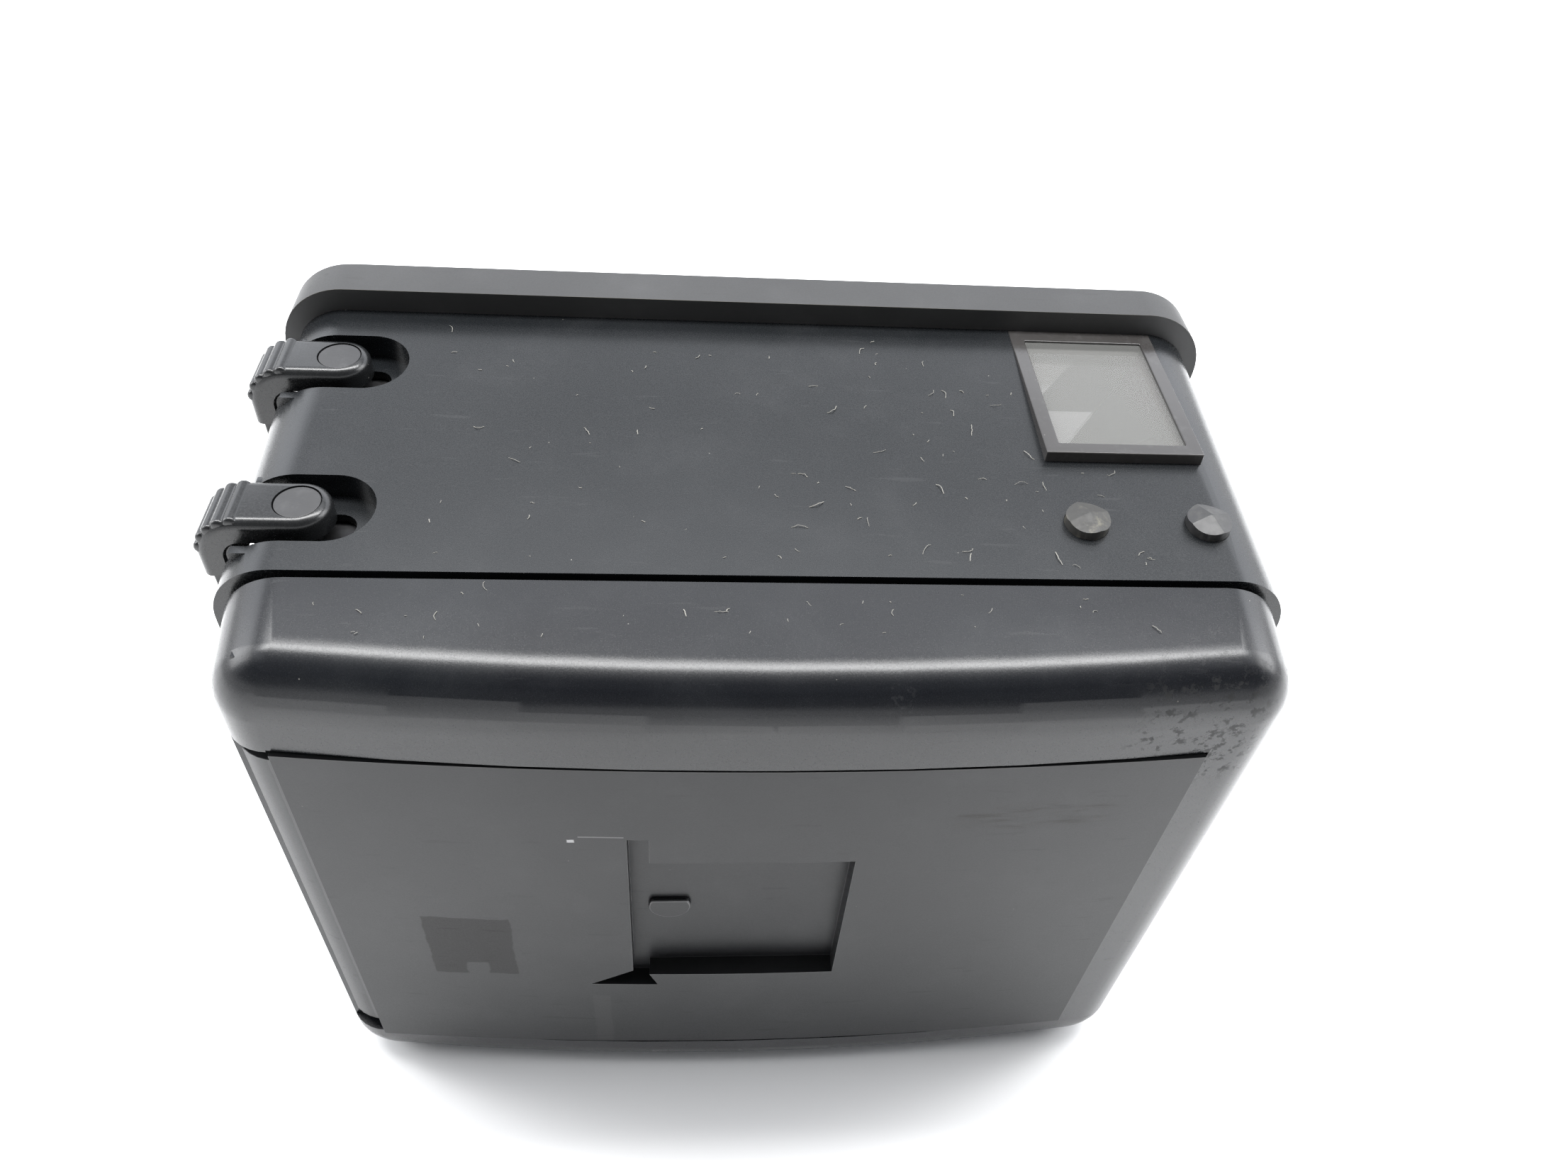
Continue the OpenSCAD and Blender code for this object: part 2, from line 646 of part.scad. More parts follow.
module insert_core() color("#232427") difference() {
  slab(-core_hw, core_hw, core_y0, core_y1, insert_z0 + plate_t, insert_z1);
  slab(-core_hw + core_wall, core_hw - core_wall, core_y0 - 1, core_y1 - core_wall,
    insert_z0 + plate_t + core_wall + 6, insert_z1 - core_wall - 6);
  for (s = [-1, 1]) for (z = [insert_z0 + plate_t - 1, insert_z1 - 4])
    rod_z(s * (core_hw - 4), core_y0 + 5, z, z + 5, insert_screw_r);
}

module insert_screws() color("#9b9c9e")
  for (s = [-1, 1]) {
    rod_z(s * (core_hw - 4), core_y0 + 5, insert_z1 - 3.5, insert_z2, insert_screw_r);
    rod_z(s * (core_hw - 4), core_y0 + 5, insert_z2, insert_z2 + 0.9, 1.9);
    rod_z(s * (core_hw - 4), core_y0 + 5, insert_z0, insert_z0 + plate_t + 3.5, insert_screw_r);
  }

// bowed leaf spring: ends at y0, middle of the bow at y1, drawn across X
module leaf(x, w, y0, y1, z, half_len, t) {
  d = y1 > y0 ? t : -t;
  translate([x - w / 2, 0, z]) rotate([90, 0, 90]) linear_extrude(w) polygon([
    [y0, -half_len], [y0 + d, -half_len], [y0 + d, -half_len * 0.8], [y1, -half_len * 0.12],
    [y1, half_len * 0.12], [y0 + d, half_len * 0.8], [y0 + d, half_len], [y0, half_len],
    [y0, half_len * 0.78], [y1 - d, half_len * 0.1], [y1 - d, -half_len * 0.1], [y0, -half_len * 0.78]
  ]);
}

module pressure_springs() color("#b5b7b9")
  for (x = [-core_hw * 0.6, core_hw * 0.6])
    leaf(x, 6, core_y1, press_y1 - press_t, gate_z, 18, 0.4);

module pressure_plate() color("#1a1a1c")
  slab(-press_hw, press_hw, press_y1 - press_t, press_y1, gate_z - gate_h / 2 - 3, gate_z + gate_h / 2 + 3);

module roller_shafts() color("#a9abad")
  for (s = [-1, 1]) rod_z(s * roller_x, roller_y, insert_z0, insert_z2, roller_shaft_r);

module guide_roller(s) difference() {
  union() {
    rod_z(s * roller_x, roller_y, insert_z0 + plate_t + 0.3, insert_z1 - 0.3, roller_r - 0.6);
    for (z = [insert_z0 + plate_t + 0.3, insert_z1 - 5.3]) rod_z(s * roller_x, roller_y, z, z + 5, roller_r);
  }
  rod_z(s * roller_x, roller_y, insert_z0, insert_z2, roller_shaft_r + run_clear);
}
module guide_roller_left() color("#b8babc") guide_roller(-1);
module guide_roller_right() color("#b8babc") guide_roller(1);

// film spool: core, two thin flanges, a key slot at each end
module spool() difference() {
  union() {
    cylinder(r = spool_core_r, h = spool_len);
    cylinder(r = spool_r, h = 1);
    translate([0, 0, spool_len - 1]) cylinder(r = spool_r, h = 1);
  }
  translate([0, 0, -1]) cylinder(r = stud_r + run_clear, h = spool_len + 2);
  for (z = [-1, spool_len - 3.5]) translate([-4.6, -0.9, z]) cube([9.2, 1.8, 4.5]);
  translate([-spool_core_r - 1, -0.6, 12]) cube([2 * spool_core_r + 2, 1.2, spool_len - 24]);
}
module supply_spool() color("#2a2a2a") translate([spool_x, spool_y, spool_z0]) spool();
module take_up_spool() color("#2a2a2a") translate([-spool_x, spool_y, spool_z0]) spool();

module supply_stud() color("#a9abad") rod_z(spool_x, spool_y, insert_z0, spool_z0 + 3, stud_r);

module take_up_gear() color("#c3a35c") union() {
  translate([take_up_x, spool_y, gear_z]) difference() {
    spur(take_up_teeth, gear_m, gear_t, train_a);
    for (i = [0 : 4]) rotate([0, 0, 72 * i + 36])
      translate([take_up_r * 0.58, 0, -1]) cylinder(r = take_up_r * 0.19, h = gear_t + 2);
  }
  rod_z(take_up_x, spool_y, gear_z + gear_t - eps, spool_z0 + 3, stud_r);
  rod_z(take_up_x, spool_y, gear_z - 0.8, gear_z + eps, gear_boss_r);
  // key that turns the spool
  slab(take_up_x - 4.2, take_up_x + 4.2, spool_y - 0.7, spool_y + 0.7, spool_z0 + 0.2, spool_z0 + 3);
}

module idler_gear() color("#d8d6cf") translate([idler_x, idler_y, gear_z]) difference() {
  union() {
    spur(idler_teeth, gear_m, gear_t, train_a + 180 + 180 / idler_teeth);
    translate([0, 0, -0.8]) cylinder(r = gear_boss_r, h = gear_t + 1.4);
  }
  translate([0, 0, -2]) cylinder(r = shaft_r + run_clear, h = gear_t + 4);
}

// the idler shows a tooth or a gap towards the drive gear by its tooth count
drive_phase = train_a + 180 + (idler_teeth % 2 == 0 ? 0 : 180 / drive_teeth);
module drive_gear() color("#c3a35c") translate([drive_x, drive_y, gear_z]) difference() {
  union() {
    spur(drive_teeth, gear_m, gear_t, drive_phase);
    translate([0, 0, -0.5]) cylinder(r = gear_boss_r, h = gear_t + 0.8);
  }
  translate([0, 0, -2]) cylinder(r = shaft_r + run_clear, h = gear_t + 4);
}

module upper_stud(s) union() {
  rod_z(s * spool_x, spool_y, spool_z0 + spool_len - stud_tip, insert_z2 + 0.3, stud_r);
  rod_z(s * spool_x, spool_y, insert_z2 + 0.2, insert_z2 + 0.2 + stud_knob_h, stud_knob_r);
}
module upper_stud_left() color("#b8babc") upper_stud(-1);
module upper_stud_right() color("#b8babc") upper_stud(1);

module stud_springs() color("#8f9194")
  for (s = [-1, 1]) union() {
    slab(s * spool_x - 2, s * spool_x + 2, insert_y0 + 1, spool_y + 3,
      insert_z2 + stud_knob_h + 0.3, insert_z2 + stud_knob_h + 0.6);
    slab(s * spool_x - 2, s * spool_x + 2, insert_y0 + 1, insert_y0 + 3,
      insert_z2, insert_z2 + stud_knob_h + 0.4);
  }

// ---------- buttons ----------

module button(s) {
  x = button_x + s * button_pitch / 2;
  top = top_z(button_y) + button_proud;
  union() {
    rod_z(x, button_y, button_collar_z - button_collar_t, top, button_r);
    rod_z(x, button_y, button_collar_z - button_collar_t, button_collar_z, button_r + button_collar);
    // low four-sided point
    intersection() {
      rod_z(x, button_y, top - eps, top + button_cone, button_r);
      translate([x, button_y, top - eps]) rotate([0, 0, 20])
        cylinder(r1 = button_r * 1.414, r2 = 0.2, h = button_cone, $fn = 4);
    }
  }
}
module button_left() color("#2c2c2d") button(-1);
module button_right() color("#2c2c2d") button(1);

// ---------- latches ----------

// latch head: an arm on top that wraps over the left edge as a short leg
module latch_head(y) {
  out_x = -(wall_x(y) + latch_side_proud);
  px = pin_x(y);
  zt = arm_top(y);
  r_out = 6;
  ridge_r = r_out - 0.25;
  difference() {
    intersection() {
      along_y(y - latch_w / 2, y + latch_w / 2) union() {
        translate([out_x + r_out, zt - latch_arm_t]) square([px + latch_end_r - out_x - r_out, latch_arm_t]);
        translate([out_x, grip_z1(y)]) square([latch_leg_t, zt - r_out - grip_z1(y)]);
        intersection() {
          translate([out_x + r_out, zt - r_out]) difference() {
            circle(r_out);
            circle(r_out - latch_leg_t - 0.4);
          }
          translate([out_x, zt - r_out]) square([r_out, r_out]);
        }
        // grip ridges over the outer corner
        for (a = [112, 128, 144, 160])
          translate([out_x + r_out + ridge_r * cos(a), zt - r_out + ridge_r * sin(a)])
            circle(0.5, $fn = 16);
      }
      union() {
        translate([out_x - 2, y - latch_w / 2, 0]) cube([px - out_x + 2, latch_w, big]);
        rod_z(px, y, 0, big, latch_end_r);
      }
    }
    rod_z(px, y, 0, big, latch_pin_r);
    rod_z(px, y, zt - 1, zt + 1, latch_cap_r + 0.05);
  }
}

module latch_grip(y) {
  out_x = -(wall_x(y) + latch_side_proud - grip_inset);
  union() {
    slab(out_x, out_x + grip_t, y - grip_w / 2, y + grip_w / 2, grip_z0(y), grip_z1(y));
    for (z = [grip_z0(y) + rib_pitch / 2 : rib_pitch : grip_z1(y) - rib_pitch / 2])
      intersection() {
        rod_y(out_x + 3, y - grip_w / 2, y + grip_w / 2, z, 3.5);
        slab(out_x - 1, out_x + 1, y - grip_w / 2, y + grip_w / 2, z - 2, z + 2);
      }
  }
}

module latch_pin(y) {
  px = pin_x(y);
  union() {
    rod_z(px, y, slider_z(y), arm_top(y) - 0.5, latch_pin_r);
    rod_z(px, y, arm_top(y) - 1, arm_top(y) - 0.1, latch_cap_r);
  }
}

module latch_slider(y, arm_x0, arm_x1, arm_y0, arm_y1) {
  px = pin_x(y);
  z = slider_z(y);
  difference() {
    union() {
      slab(px + hook_x0, px + slider_end, y - 4, y + 4, z, z + slider_t);
      slab(px + arm_x0, px + arm_x1, arm_y0, arm_y1, z, z + slider_t);
    }
    rod_z(px, y, z - 1, z + slider_t + 1, latch_pin_r);
  }
}

module front_latch_head() color("#222325") latch_head(front_latch_y);
module front_latch_grip() color("#1c1c1e") latch_grip(front_latch_y);
module front_latch_pin() color("#2a2b2d") latch_pin(front_latch_y);
module front_latch_slider() color("#8f9194")
  latch_slider(front_latch_y, bolt_x0, bolt_x1, front_latch_y, yf + flange_t - 1);
module rear_latch_head() color("#222325") latch_head(rear_latch_y);
module rear_latch_grip() color("#1c1c1e") latch_grip(rear_latch_y);
module rear_latch_pin() color("#2a2b2d") latch_pin(rear_latch_y);
module rear_latch_slider() color("#8f9194")
  latch_slider(rear_latch_y, hook_x0, hook_x1, ys + catch_reach + slide_gap, rear_latch_y);

// return springs, one behind each slider, held by a post on the shell
module latch_springs() color("#b5b7b9")
  for (y = [front_latch_y, rear_latch_y])
    translate([pin_x(y) + slider_end, y, slider_z(y) - 0.1]) rotate([0, 90, 0])
      close_wound_spring(1.1, 0.25, spring_seat_x - slider_end);

// ---------- rear door ----------

module door_form() {
  hull() {
    along_y(ys - seam_gap - eps, ys - seam_gap)
      round_rect(2 * door_hw, door_h, corner_r, $fn = 48);
    for (fx = [-1 : 0.25 : 1]) for (z = [corner_r, door_h - corner_r - door_fall])
      translate([fx * (door_back_hw - corner_r), crown_y(fx * door_back_hw) + door_fillet, z])
        rotate([90, 0, 0]) rotate_extrude($fn = 32) intersection() {
          translate([corner_r - door_fillet, 0]) circle(door_fillet, $fn = 32);
          translate([0, -door_fillet]) square([corner_r, 2 * door_fillet]);
        }
  }
}

module door_hollow() {
  translate([-0.75, 0, wall]) along_y(skin_y, ys + 1)
    round_rect(2 * (door_hw - wall) - 1.5, door_h - 2 * wall - door_fall, corner_r - wall, $fn = 48);
}

module rear_door() color("#1c1d1f") difference() {
  union() {
    difference() {
      door_form();
      door_hollow();
    }
    hinge_knuckles(1, -1);
    // ridge that presses on the light seal
    difference() {
      slab(-frame_hw + 0.3, frame_hw - 0.3, skin_y - eps, ys - 0.55, frame_z0 + 0.3, frame_z1 - 0.3);
      slab(-chamber_hw - 0.3, chamber_hw + 0.3, door_y0, ys + 1, chamber_z0 - 0.3, chamber_z1 + 0.3);
    }
    // lands for the catch and the hold-down springs
    slab(catch_x - 4, catch_x + 4, skin_y - eps, ys - seam_gap, frame_z1 + 0.3, door_h - wall + eps);
  }
  // recess of the cover plate
  slab(plate_x0 - plate_gap, plate_x1 + plate_gap, door_y0 - 1, plate_y1,
    plate_z0 - plate_gap, plate_z1 + plate_gap);
  // slide pocket
  slab(plate_x0 - 1, slide_x1 + 0.5, plate_y1 - eps, plate_y1 + slide_slot_t,
    slide_z - slide_h / 2 - 0.4, slide_z + slide_h / 2 + 0.4);
  // recess of the slide handle, open at the left
  slab(-big, plate_x0 - plate_gap + eps, door_y0 - 1, plate_y1 + slide_slot_t + handle_sink,
    plate_z0, plate_z1);
  hinge_reliefs(0);
  rod_z(hinge_x, hinge_y, hinge_z0 - 1, hinge_z1 + 1, hinge_pin_r + run_clear);
  plate_screw_spots() rod_y(0, plate_y1 - 1, skin_y + 1, 0, plate_screw_r);
}

// block whose back follows the crown of the door
module crowned_block(x0, x1, y1, z0, z1) {
  steps = 24;
  translate([0, 0, z0]) linear_extrude(z1 - z0) polygon(concat(
    [for (i = [0 : steps]) let (x = x0 + (x1 - x0) * i / steps) [x, crown_y(x)]],
    [[x1, y1], [x0, y1]]
  ));
}

module plate_screw_spots() {
  for (x = [plate_x0 + 5, plate_x1 - 5])
    for (z = [(chamber_z0 - 0.7 + slide_z - slide_h / 2) / 2, plate_z1 - 2.6])
      translate([x, 0, z]) children();
}

module back_cover_plate() color("#2b2c2f") difference() {
  crowned_block(plate_x0, plate_x1, plate_y1, plate_z0, plate_z1);
  slab(memo_x - memo_w / 2, memo_x + memo_w / 2, door_y0 - 1, memo_floor_y, memo_z0, memo_z0 + memo_h);
  slab(memo_x - memo_w / 2, memo_x - memo_w / 2 + memo_tab_w, door_y0 - 1, memo_floor_y,
    memo_z0 + memo_h - eps, memo_z0 + memo_h + memo_tab_h);
  // three-cornered notch at the lower left
  translate([0, memo_floor_y, 0]) rotate([90, 0, 0]) linear_extrude(10) polygon([
    [memo_x - memo_w / 2 - 6.4, memo_z0 - 3.4],
    [memo_x - memo_w / 2 + 3.6, memo_z0 - 3.4],
    [memo_x - memo_w / 2 + 2, memo_z0 + 1],
    [memo_x - memo_w / 2, memo_z0 + 1.2]
  ]);
  plate_screw_spots() rod_y(0, plate_y1 - 1.2, plate_y1 + 1, 0, plate_screw_r);
}

module memo_spring() color("#3a3b3d") intersection() {
  rod_y(memo_x - memo_w / 2 + 5.4, memo_floor_y - 0.7, memo_floor_y, memo_z0 + memo_h * 0.52, 3);
  slab(memo_x - memo_w / 2 + 1, memo_x, memo_floor_y - 1, memo_floor_y + 1,
    memo_z0 + memo_h * 0.52 - 3, memo_z0 + memo_h * 0.52 + 1.6);
}

module plate_screws() color("#8f9194")
  plate_screw_spots() union() {
    rod_y(0, plate_y1 - 1.1, skin_y, 0, plate_screw_r);
    rod_y(0, skin_y, skin_y + 0.7, 0, plate_screw_head_r);
  }

// hook on the door that the rear latch holds; it stops just short of the slider
module door_catch() color("#9b9c9e") union() {
  z = slider_z(rear_latch_y);
  slab(catch_x, catch_x + 1.6, ys - seam_gap, ys + catch_reach, z - 1, z + slider_t);
  slab(catch_x - 2.4, catch_x + eps, ys + catch_reach - 1.6, ys + catch_reach, z - 1, z + slider_t);
}

module insert_hold_springs() color("#b5b7b9")
  for (s = [-1, 1])
    leaf(s * (core_hw - 3), 8, skin_y, core_y0 - slide_gap, gate_z, 26, 0.6);

// ---------- dark slide, stored in the door ----------

module dark_slide_blade() color("#3a3b3e")
  slab(slide_x0, slide_x1, slide_y, slide_y + slide_t, slide_z - slide_h / 2, slide_z + slide_h / 2);

module dark_slide_handle() color("#242527") union() {
  intersection() {
    slab(-door_hw - 1, plate_x0 - 0.6, door_y0 - 1, plate_y1 + slide_slot_t + handle_sink - slide_gap,
      handle_z0, handle_z1);
    translate([0.1, 0.7, 0]) door_form();
  }
  // tongue that grips the blade
  slab(plate_x0 - 0.6 - eps, slide_x0, slide_y, slide_y + slide_t,
    slide_z - slide_h / 2, slide_z + slide_h / 2);
}

housing_shell();
mount_flange();
inner_frame();
gate_mask();
slide_light_seal();
lcd_bezel();
lcd_window();
lcd_panel();
lcd_contact_strips();
circuit_board();
coin_cell();
cell_clip();
dome_switches();
contact_block();
contact_pins();
flange_screws();
hinge_pin();
door_light_seal();
insert_base_plate();
insert_top_plate();
insert_core();
insert_screws();
pressure_springs();
pressure_plate();
roller_shafts();
guide_roller_left();
guide_roller_right();
supply_spool();
supply_stud();
take_up_spool();
take_up_gear();
idler_gear();
drive_gear();
gear_shafts();
upper_stud_left();
upper_stud_right();
stud_springs();
button_left();
button_right();
front_latch_head();
front_latch_grip();
front_latch_pin();
front_latch_slider();
rear_latch_head();
rear_latch_grip();
rear_latch_pin();
rear_latch_slider();
latch_springs();
rear_door();
back_cover_plate();
memo_spring();
plate_screws();
door_catch();
insert_hold_springs();
dark_slide_blade();
dark_slide_handle();
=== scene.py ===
"""Roll-film magazine: the looks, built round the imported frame. Metres, +Z up, -Y is the back door."""
import math
import random
import bpy
from mathutils import Matrix, Vector


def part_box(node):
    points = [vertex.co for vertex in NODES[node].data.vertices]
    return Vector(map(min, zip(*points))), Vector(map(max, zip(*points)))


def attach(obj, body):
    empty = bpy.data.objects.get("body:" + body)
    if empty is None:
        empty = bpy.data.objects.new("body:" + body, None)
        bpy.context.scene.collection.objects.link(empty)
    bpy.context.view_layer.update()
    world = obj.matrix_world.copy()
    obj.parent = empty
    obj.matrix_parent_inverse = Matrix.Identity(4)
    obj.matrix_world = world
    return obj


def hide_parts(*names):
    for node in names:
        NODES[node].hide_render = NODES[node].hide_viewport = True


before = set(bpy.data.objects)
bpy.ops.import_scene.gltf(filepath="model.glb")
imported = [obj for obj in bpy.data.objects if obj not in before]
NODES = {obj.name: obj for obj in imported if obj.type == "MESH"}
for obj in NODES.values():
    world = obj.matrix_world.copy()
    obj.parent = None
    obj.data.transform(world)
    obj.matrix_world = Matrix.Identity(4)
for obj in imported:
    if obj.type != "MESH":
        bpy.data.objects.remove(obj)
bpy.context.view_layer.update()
MM = 0.001
SHADE_ANGLE = 32      # degrees; sharper edges than this stay sharp in reworked castings
SAME_POINT = 0.002    # mm; CAD points closer than this are merged
SAME_POINT_SPUN = 0.004
FLAT_ANGLE = 0.12     # degrees; flatter edges than this are dissolved


# ---------------------------------------------------------------- small tools

def mm(*values):
    return tuple(v * MM for v in values)


def nothing_selected():
    if bpy.context.object and bpy.context.object.mode != "OBJECT":
        bpy.ops.object.mode_set(mode="OBJECT")
    bpy.ops.object.select_all(action="DESELECT")


def only(piece):
    nothing_selected()
    piece.select_set(True)
    bpy.context.view_layer.objects.active = piece


def in_edit(piece):
    only(piece)
    bpy.ops.object.mode_set(mode="EDIT")
    bpy.ops.mesh.select_all(action="SELECT")


def out_of_edit():
    bpy.ops.object.mode_set(mode="OBJECT")


def settle(piece):
    """Puts the piece's place into its mesh."""
    only(piece)
    bpy.ops.object.transform_apply(location=True, rotation=True, scale=True)


def apply_all(piece):
    only(piece)
    for m in list(piece.modifiers):
        bpy.ops.object.modifier_apply(modifier=m.name)


def round_edges(piece, width, segments=2, angle=30, worn=False):
    """Bevels the sharp edges; if asked, the bevels take the piece's second material, a lighter paint that
    puts a painted highlight along the edges together with some wear.
    """
    bevel = piece.modifiers.new("edges", "BEVEL")
    bevel.width = width * MM
    bevel.segments = segments
    bevel.limit_method = "ANGLE"
    bevel.angle_limit = math.radians(angle)
    bevel.use_clamp_overlap = True
    bevel.miter_outer = "MITER_ARC"
    # the lighter second paint on the bevels is a painted highlight along the edges, with some wear
    if worn:
        bevel.material = 1
    apply_all(piece)


def smooth(piece, angle, weighted=True):
    only(piece)
    bpy.ops.object.shade_smooth_by_angle(angle=math.radians(angle))
    if weighted:
        even = piece.modifiers.new("even", "WEIGHTED_NORMAL")
        even.keep_sharp = True
        even.weight = 60
        apply_all(piece)


def take_over(node, name):
    """A copy of a CAD node's mesh, merged and cleaned, that can then be shaped."""
    piece = bpy.data.objects.new(name, NODES[node].data.copy())
    piece.data.name = name
    piece.data.materials.clear()
    bpy.context.scene.collection.objects.link(piece)
    in_edit(piece)
    bpy.ops.mesh.customdata_custom_splitnormals_clear()
    bpy.ops.mesh.remove_doubles(threshold=SAME_POINT * MM)
    bpy.ops.mesh.dissolve_limited(angle_limit=math.radians(FLAT_ANGLE))
    out_of_edit()
    return piece


def finish_piece(piece, body, nodes, slot, *materials):
    for m in materials:
        piece.data.materials.append(m)
    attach(piece, body)
    if nodes:
        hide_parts(*nodes)


def reworked(node, body, slot, materials, edge, segments=2, angle=30):
    """Replaces a CAD node by its own shape with rounded edges."""
    piece = take_over(node, node + "_finished")
    for m in materials:
        piece.data.materials.append(m)
    # with two materials the bevels get the lighter paint: a painted highlight along the edges, with some
    # wear
    round_edges(piece, edge, segments, angle, worn=len(materials) > 1)
    smooth(piece, SHADE_ANGLE)
    finish_piece(piece, body, [node], slot)


# ---------------------------------------------------------------- materials

class Nodes:
    """Short names for building a material's nodes."""

    def __init__(self, name):
        self.material = bpy.data.materials.new(name)
        self.material.use_nodes = True
        self.tree = self.material.node_tree
        self.shader = next(n for n in self.tree.nodes if n.type == "BSDF_PRINCIPLED")
        self.place = self.new("ShaderNodeTexCoord").outputs["Object"]

    def new(self, kind):
        return self.tree.nodes.new(kind)

    def link(self, a, b):
        self.tree.links.new(a, b)

    def fill(self, socket, value):
        """Sets a colour or a number on a socket, or links another node's output to it."""
        if isinstance(value, tuple):
            socket.default_value = (*value, 1)
        elif isinstance(value, (int, float)):
            socket.default_value = value
        else:
            self.link(value, socket)

    def stretched(self, scale, turn=(0, 0, 0)):
        m = self.new("ShaderNodeMapping")
        m.inputs["Scale"].default_value = scale
        m.inputs["Rotation"].default_value = turn
        self.link(self.place, m.inputs["Vector"])
        return m.outputs["Vector"]

    def noise(self, scale, detail=3, rough=0.5, place=None):
        n = self.new("ShaderNodeTexNoise")
        n.inputs["Scale"].default_value = scale
        n.inputs["Detail"].default_value = detail
        n.inputs["Roughness"].default_value = rough
        self.link(place or self.place, n.inputs["Vector"])
        return n.outputs["Fac"]

    def cells(self, scale, out="Distance", place=None):
        n = self.new("ShaderNodeTexVoronoi")
        n.inputs["Scale"].default_value = scale
        self.link(place or self.place, n.inputs["Vector"])
        return n.outputs[out]

    def band(self, value, low, high, to_low=0.0, to_high=1.0):
        n = self.new("ShaderNodeMapRange")
        n.interpolation_type = "SMOOTHSTEP"
        n.inputs["From Min"].default_value = low
        n.inputs["From Max"].default_value = high
        n.inputs["To Min"].default_value = to_low
        n.inputs["To Max"].default_value = to_high
        self.link(value, n.inputs["Value"])
        return n.outputs["Result"]

    def times(self, a, b):
        return self.maths("MULTIPLY", a, b)

    def plus(self, a, b):
        return self.maths("ADD", a, b)

    def maths(self, kind, a, b):
        n = self.new("ShaderNodeMath")
        n.operation = kind
        for socket, v in zip(n.inputs, (a, b)):
            self.fill(socket, v)
        return n.outputs[0]

    def mix(self, fac, a, b):
        n = self.new("ShaderNodeMix")
        n.data_type = "RGBA"
        for socket, v in ((n.inputs[0], fac), (n.inputs[6], a), (n.inputs[7], b)):
            self.fill(socket, v)
        return n.outputs[2]

    def axis(self, which):
        n = self.new("ShaderNodeSeparateXYZ")
        self.link(self.place, n.inputs[0])
        return n.outputs[which]

    def facing_up(self):
        n = self.new("ShaderNodeNewGeometry")
        s = self.new("ShaderNodeSeparateXYZ")
        self.link(n.outputs["Normal"], s.inputs[0])
        return s.outputs["Z"]

    def bump(self, height, strength, distance=0.05, normal=None):
        n = self.new("ShaderNodeBump")
        n.inputs["Strength"].default_value = strength
        n.inputs["Distance"].default_value = distance * MM
        self.link(height, n.inputs["Height"])
        if normal:
            self.link(normal, n.inputs["Normal"])
        return n.outputs["Normal"]

    def set(self, **values):
        for k, v in values.items():
            self.fill(self.shader.inputs[k.replace("_", " ")], v)


def specks(n, scale, size, share):
    """Mask of small dust specks: few of the cells hold one."""
    dot = n.band(n.cells(scale), size * 0.5, size, 1.0, 0.0)
    s = n.new("ShaderNodeSeparateColor")
    n.link(n.cells(scale, "Color"), s.inputs[0])
    chosen = n.maths("GREATER_THAN", s.outputs[0], 1 - share)
    return n.times(dot, chosen)


PAINT_GRAIN = 0.25
PAINT_DUST = (0.16, 0.155, 0.14)
PAINT_HAZE = (0.09, 0.09, 0.093)
PLASTIC_DUST = (0.12, 0.117, 0.11)


def satin_paint(name, tone, light, rough, dust=0.12, haze=0.06, marks=None, sheen=0.5):
    """Sprayed satin paint with fine grain, faint haze, dust specks and hairline rubs."""
    n = Nodes(name)
    cloud = n.noise(38, 4, 0.55)
    colour = n.mix(n.band(cloud, 0.3, 0.75), tone, light)
    fine = n.noise(5200, 2, 0.6)
    up = n.band(n.facing_up(), -0.2, 0.9, 0.25, 1.0)
    both = n.maths("MAXIMUM", specks(n, 420, 0.045, dust), specks(n, 160, 0.022, dust))
    colour = n.mix(n.times(both, up), colour, PAINT_DUST)
    rub = n.band(n.noise(900, 2, 0.5, n.stretched((0.12, 1, 1), (0, 0.3, 0.9))), 0.66, 0.74)
    film = n.band(n.noise(75, 5, 0.65), 0.45, 0.8, 0.0, haze)
    colour = n.mix(film, colour, PAINT_HAZE)
    roughness = n.plus(n.band(fine, 0.2, 0.8, rough - 0.03, rough + 0.05), n.times(rub, 0.05))
    if marks:
        colour, roughness = marks(n, colour, roughness)
    normal = n.bump(fine, PAINT_GRAIN, 0.02)
    normal = n.bump(n.noise(260, 3, 0.5), PAINT_GRAIN * 0.35, 0.04, normal)
    n.set(Base_Color=colour, Roughness=roughness, Normal=normal, IOR=1.5,
          Specular_IOR_Level=sheen)
    return n.material


def moulded(name, tone, light, rough, grain=0.2, scale=3000, worn=(0.09, 0.09, 0.09),
            amount=0.2):
    """Moulded plastic or rubber: fine grain with greyish handling wear."""
    n = Nodes(name)
    patch = n.band(n.noise(420, 5, 0.7), 0.5, 0.72, 0.0, amount)
    colour = n.mix(n.band(n.noise(60, 3), 0.3, 0.7), tone, light)
    colour = n.mix(patch, colour, worn)
    colour = n.mix(specks(n, 700, 0.08, 0.12), colour, PLASTIC_DUST)
    fine = n.noise(scale, 3, 0.6)
    n.set(Base_Color=colour, Roughness=n.band(fine, 0.2, 0.8, rough - 0.05, rough + 0.07),
          Normal=n.bump(fine, grain, 0.03))
    return n.material


def metal(name, tone, light, rough, brushed=(1, 1, 12), metallic=1.0):
    """Turned, rolled or plated metal, with marks drawn out along one way."""
    n = Nodes(name)
    lines = n.noise(900, 3, 0.6, n.stretched(brushed))
    stain = n.band(n.noise(120, 4), 0.35, 0.75)
    n.set(Base_Color=n.mix(stain, tone, light), Metallic=metallic,
          Roughness=n.band(lines, 0.25, 0.75, rough - 0.06, rough + 0.1),
          Normal=n.bump(lines, 0.15, 0.02))
    return n.material


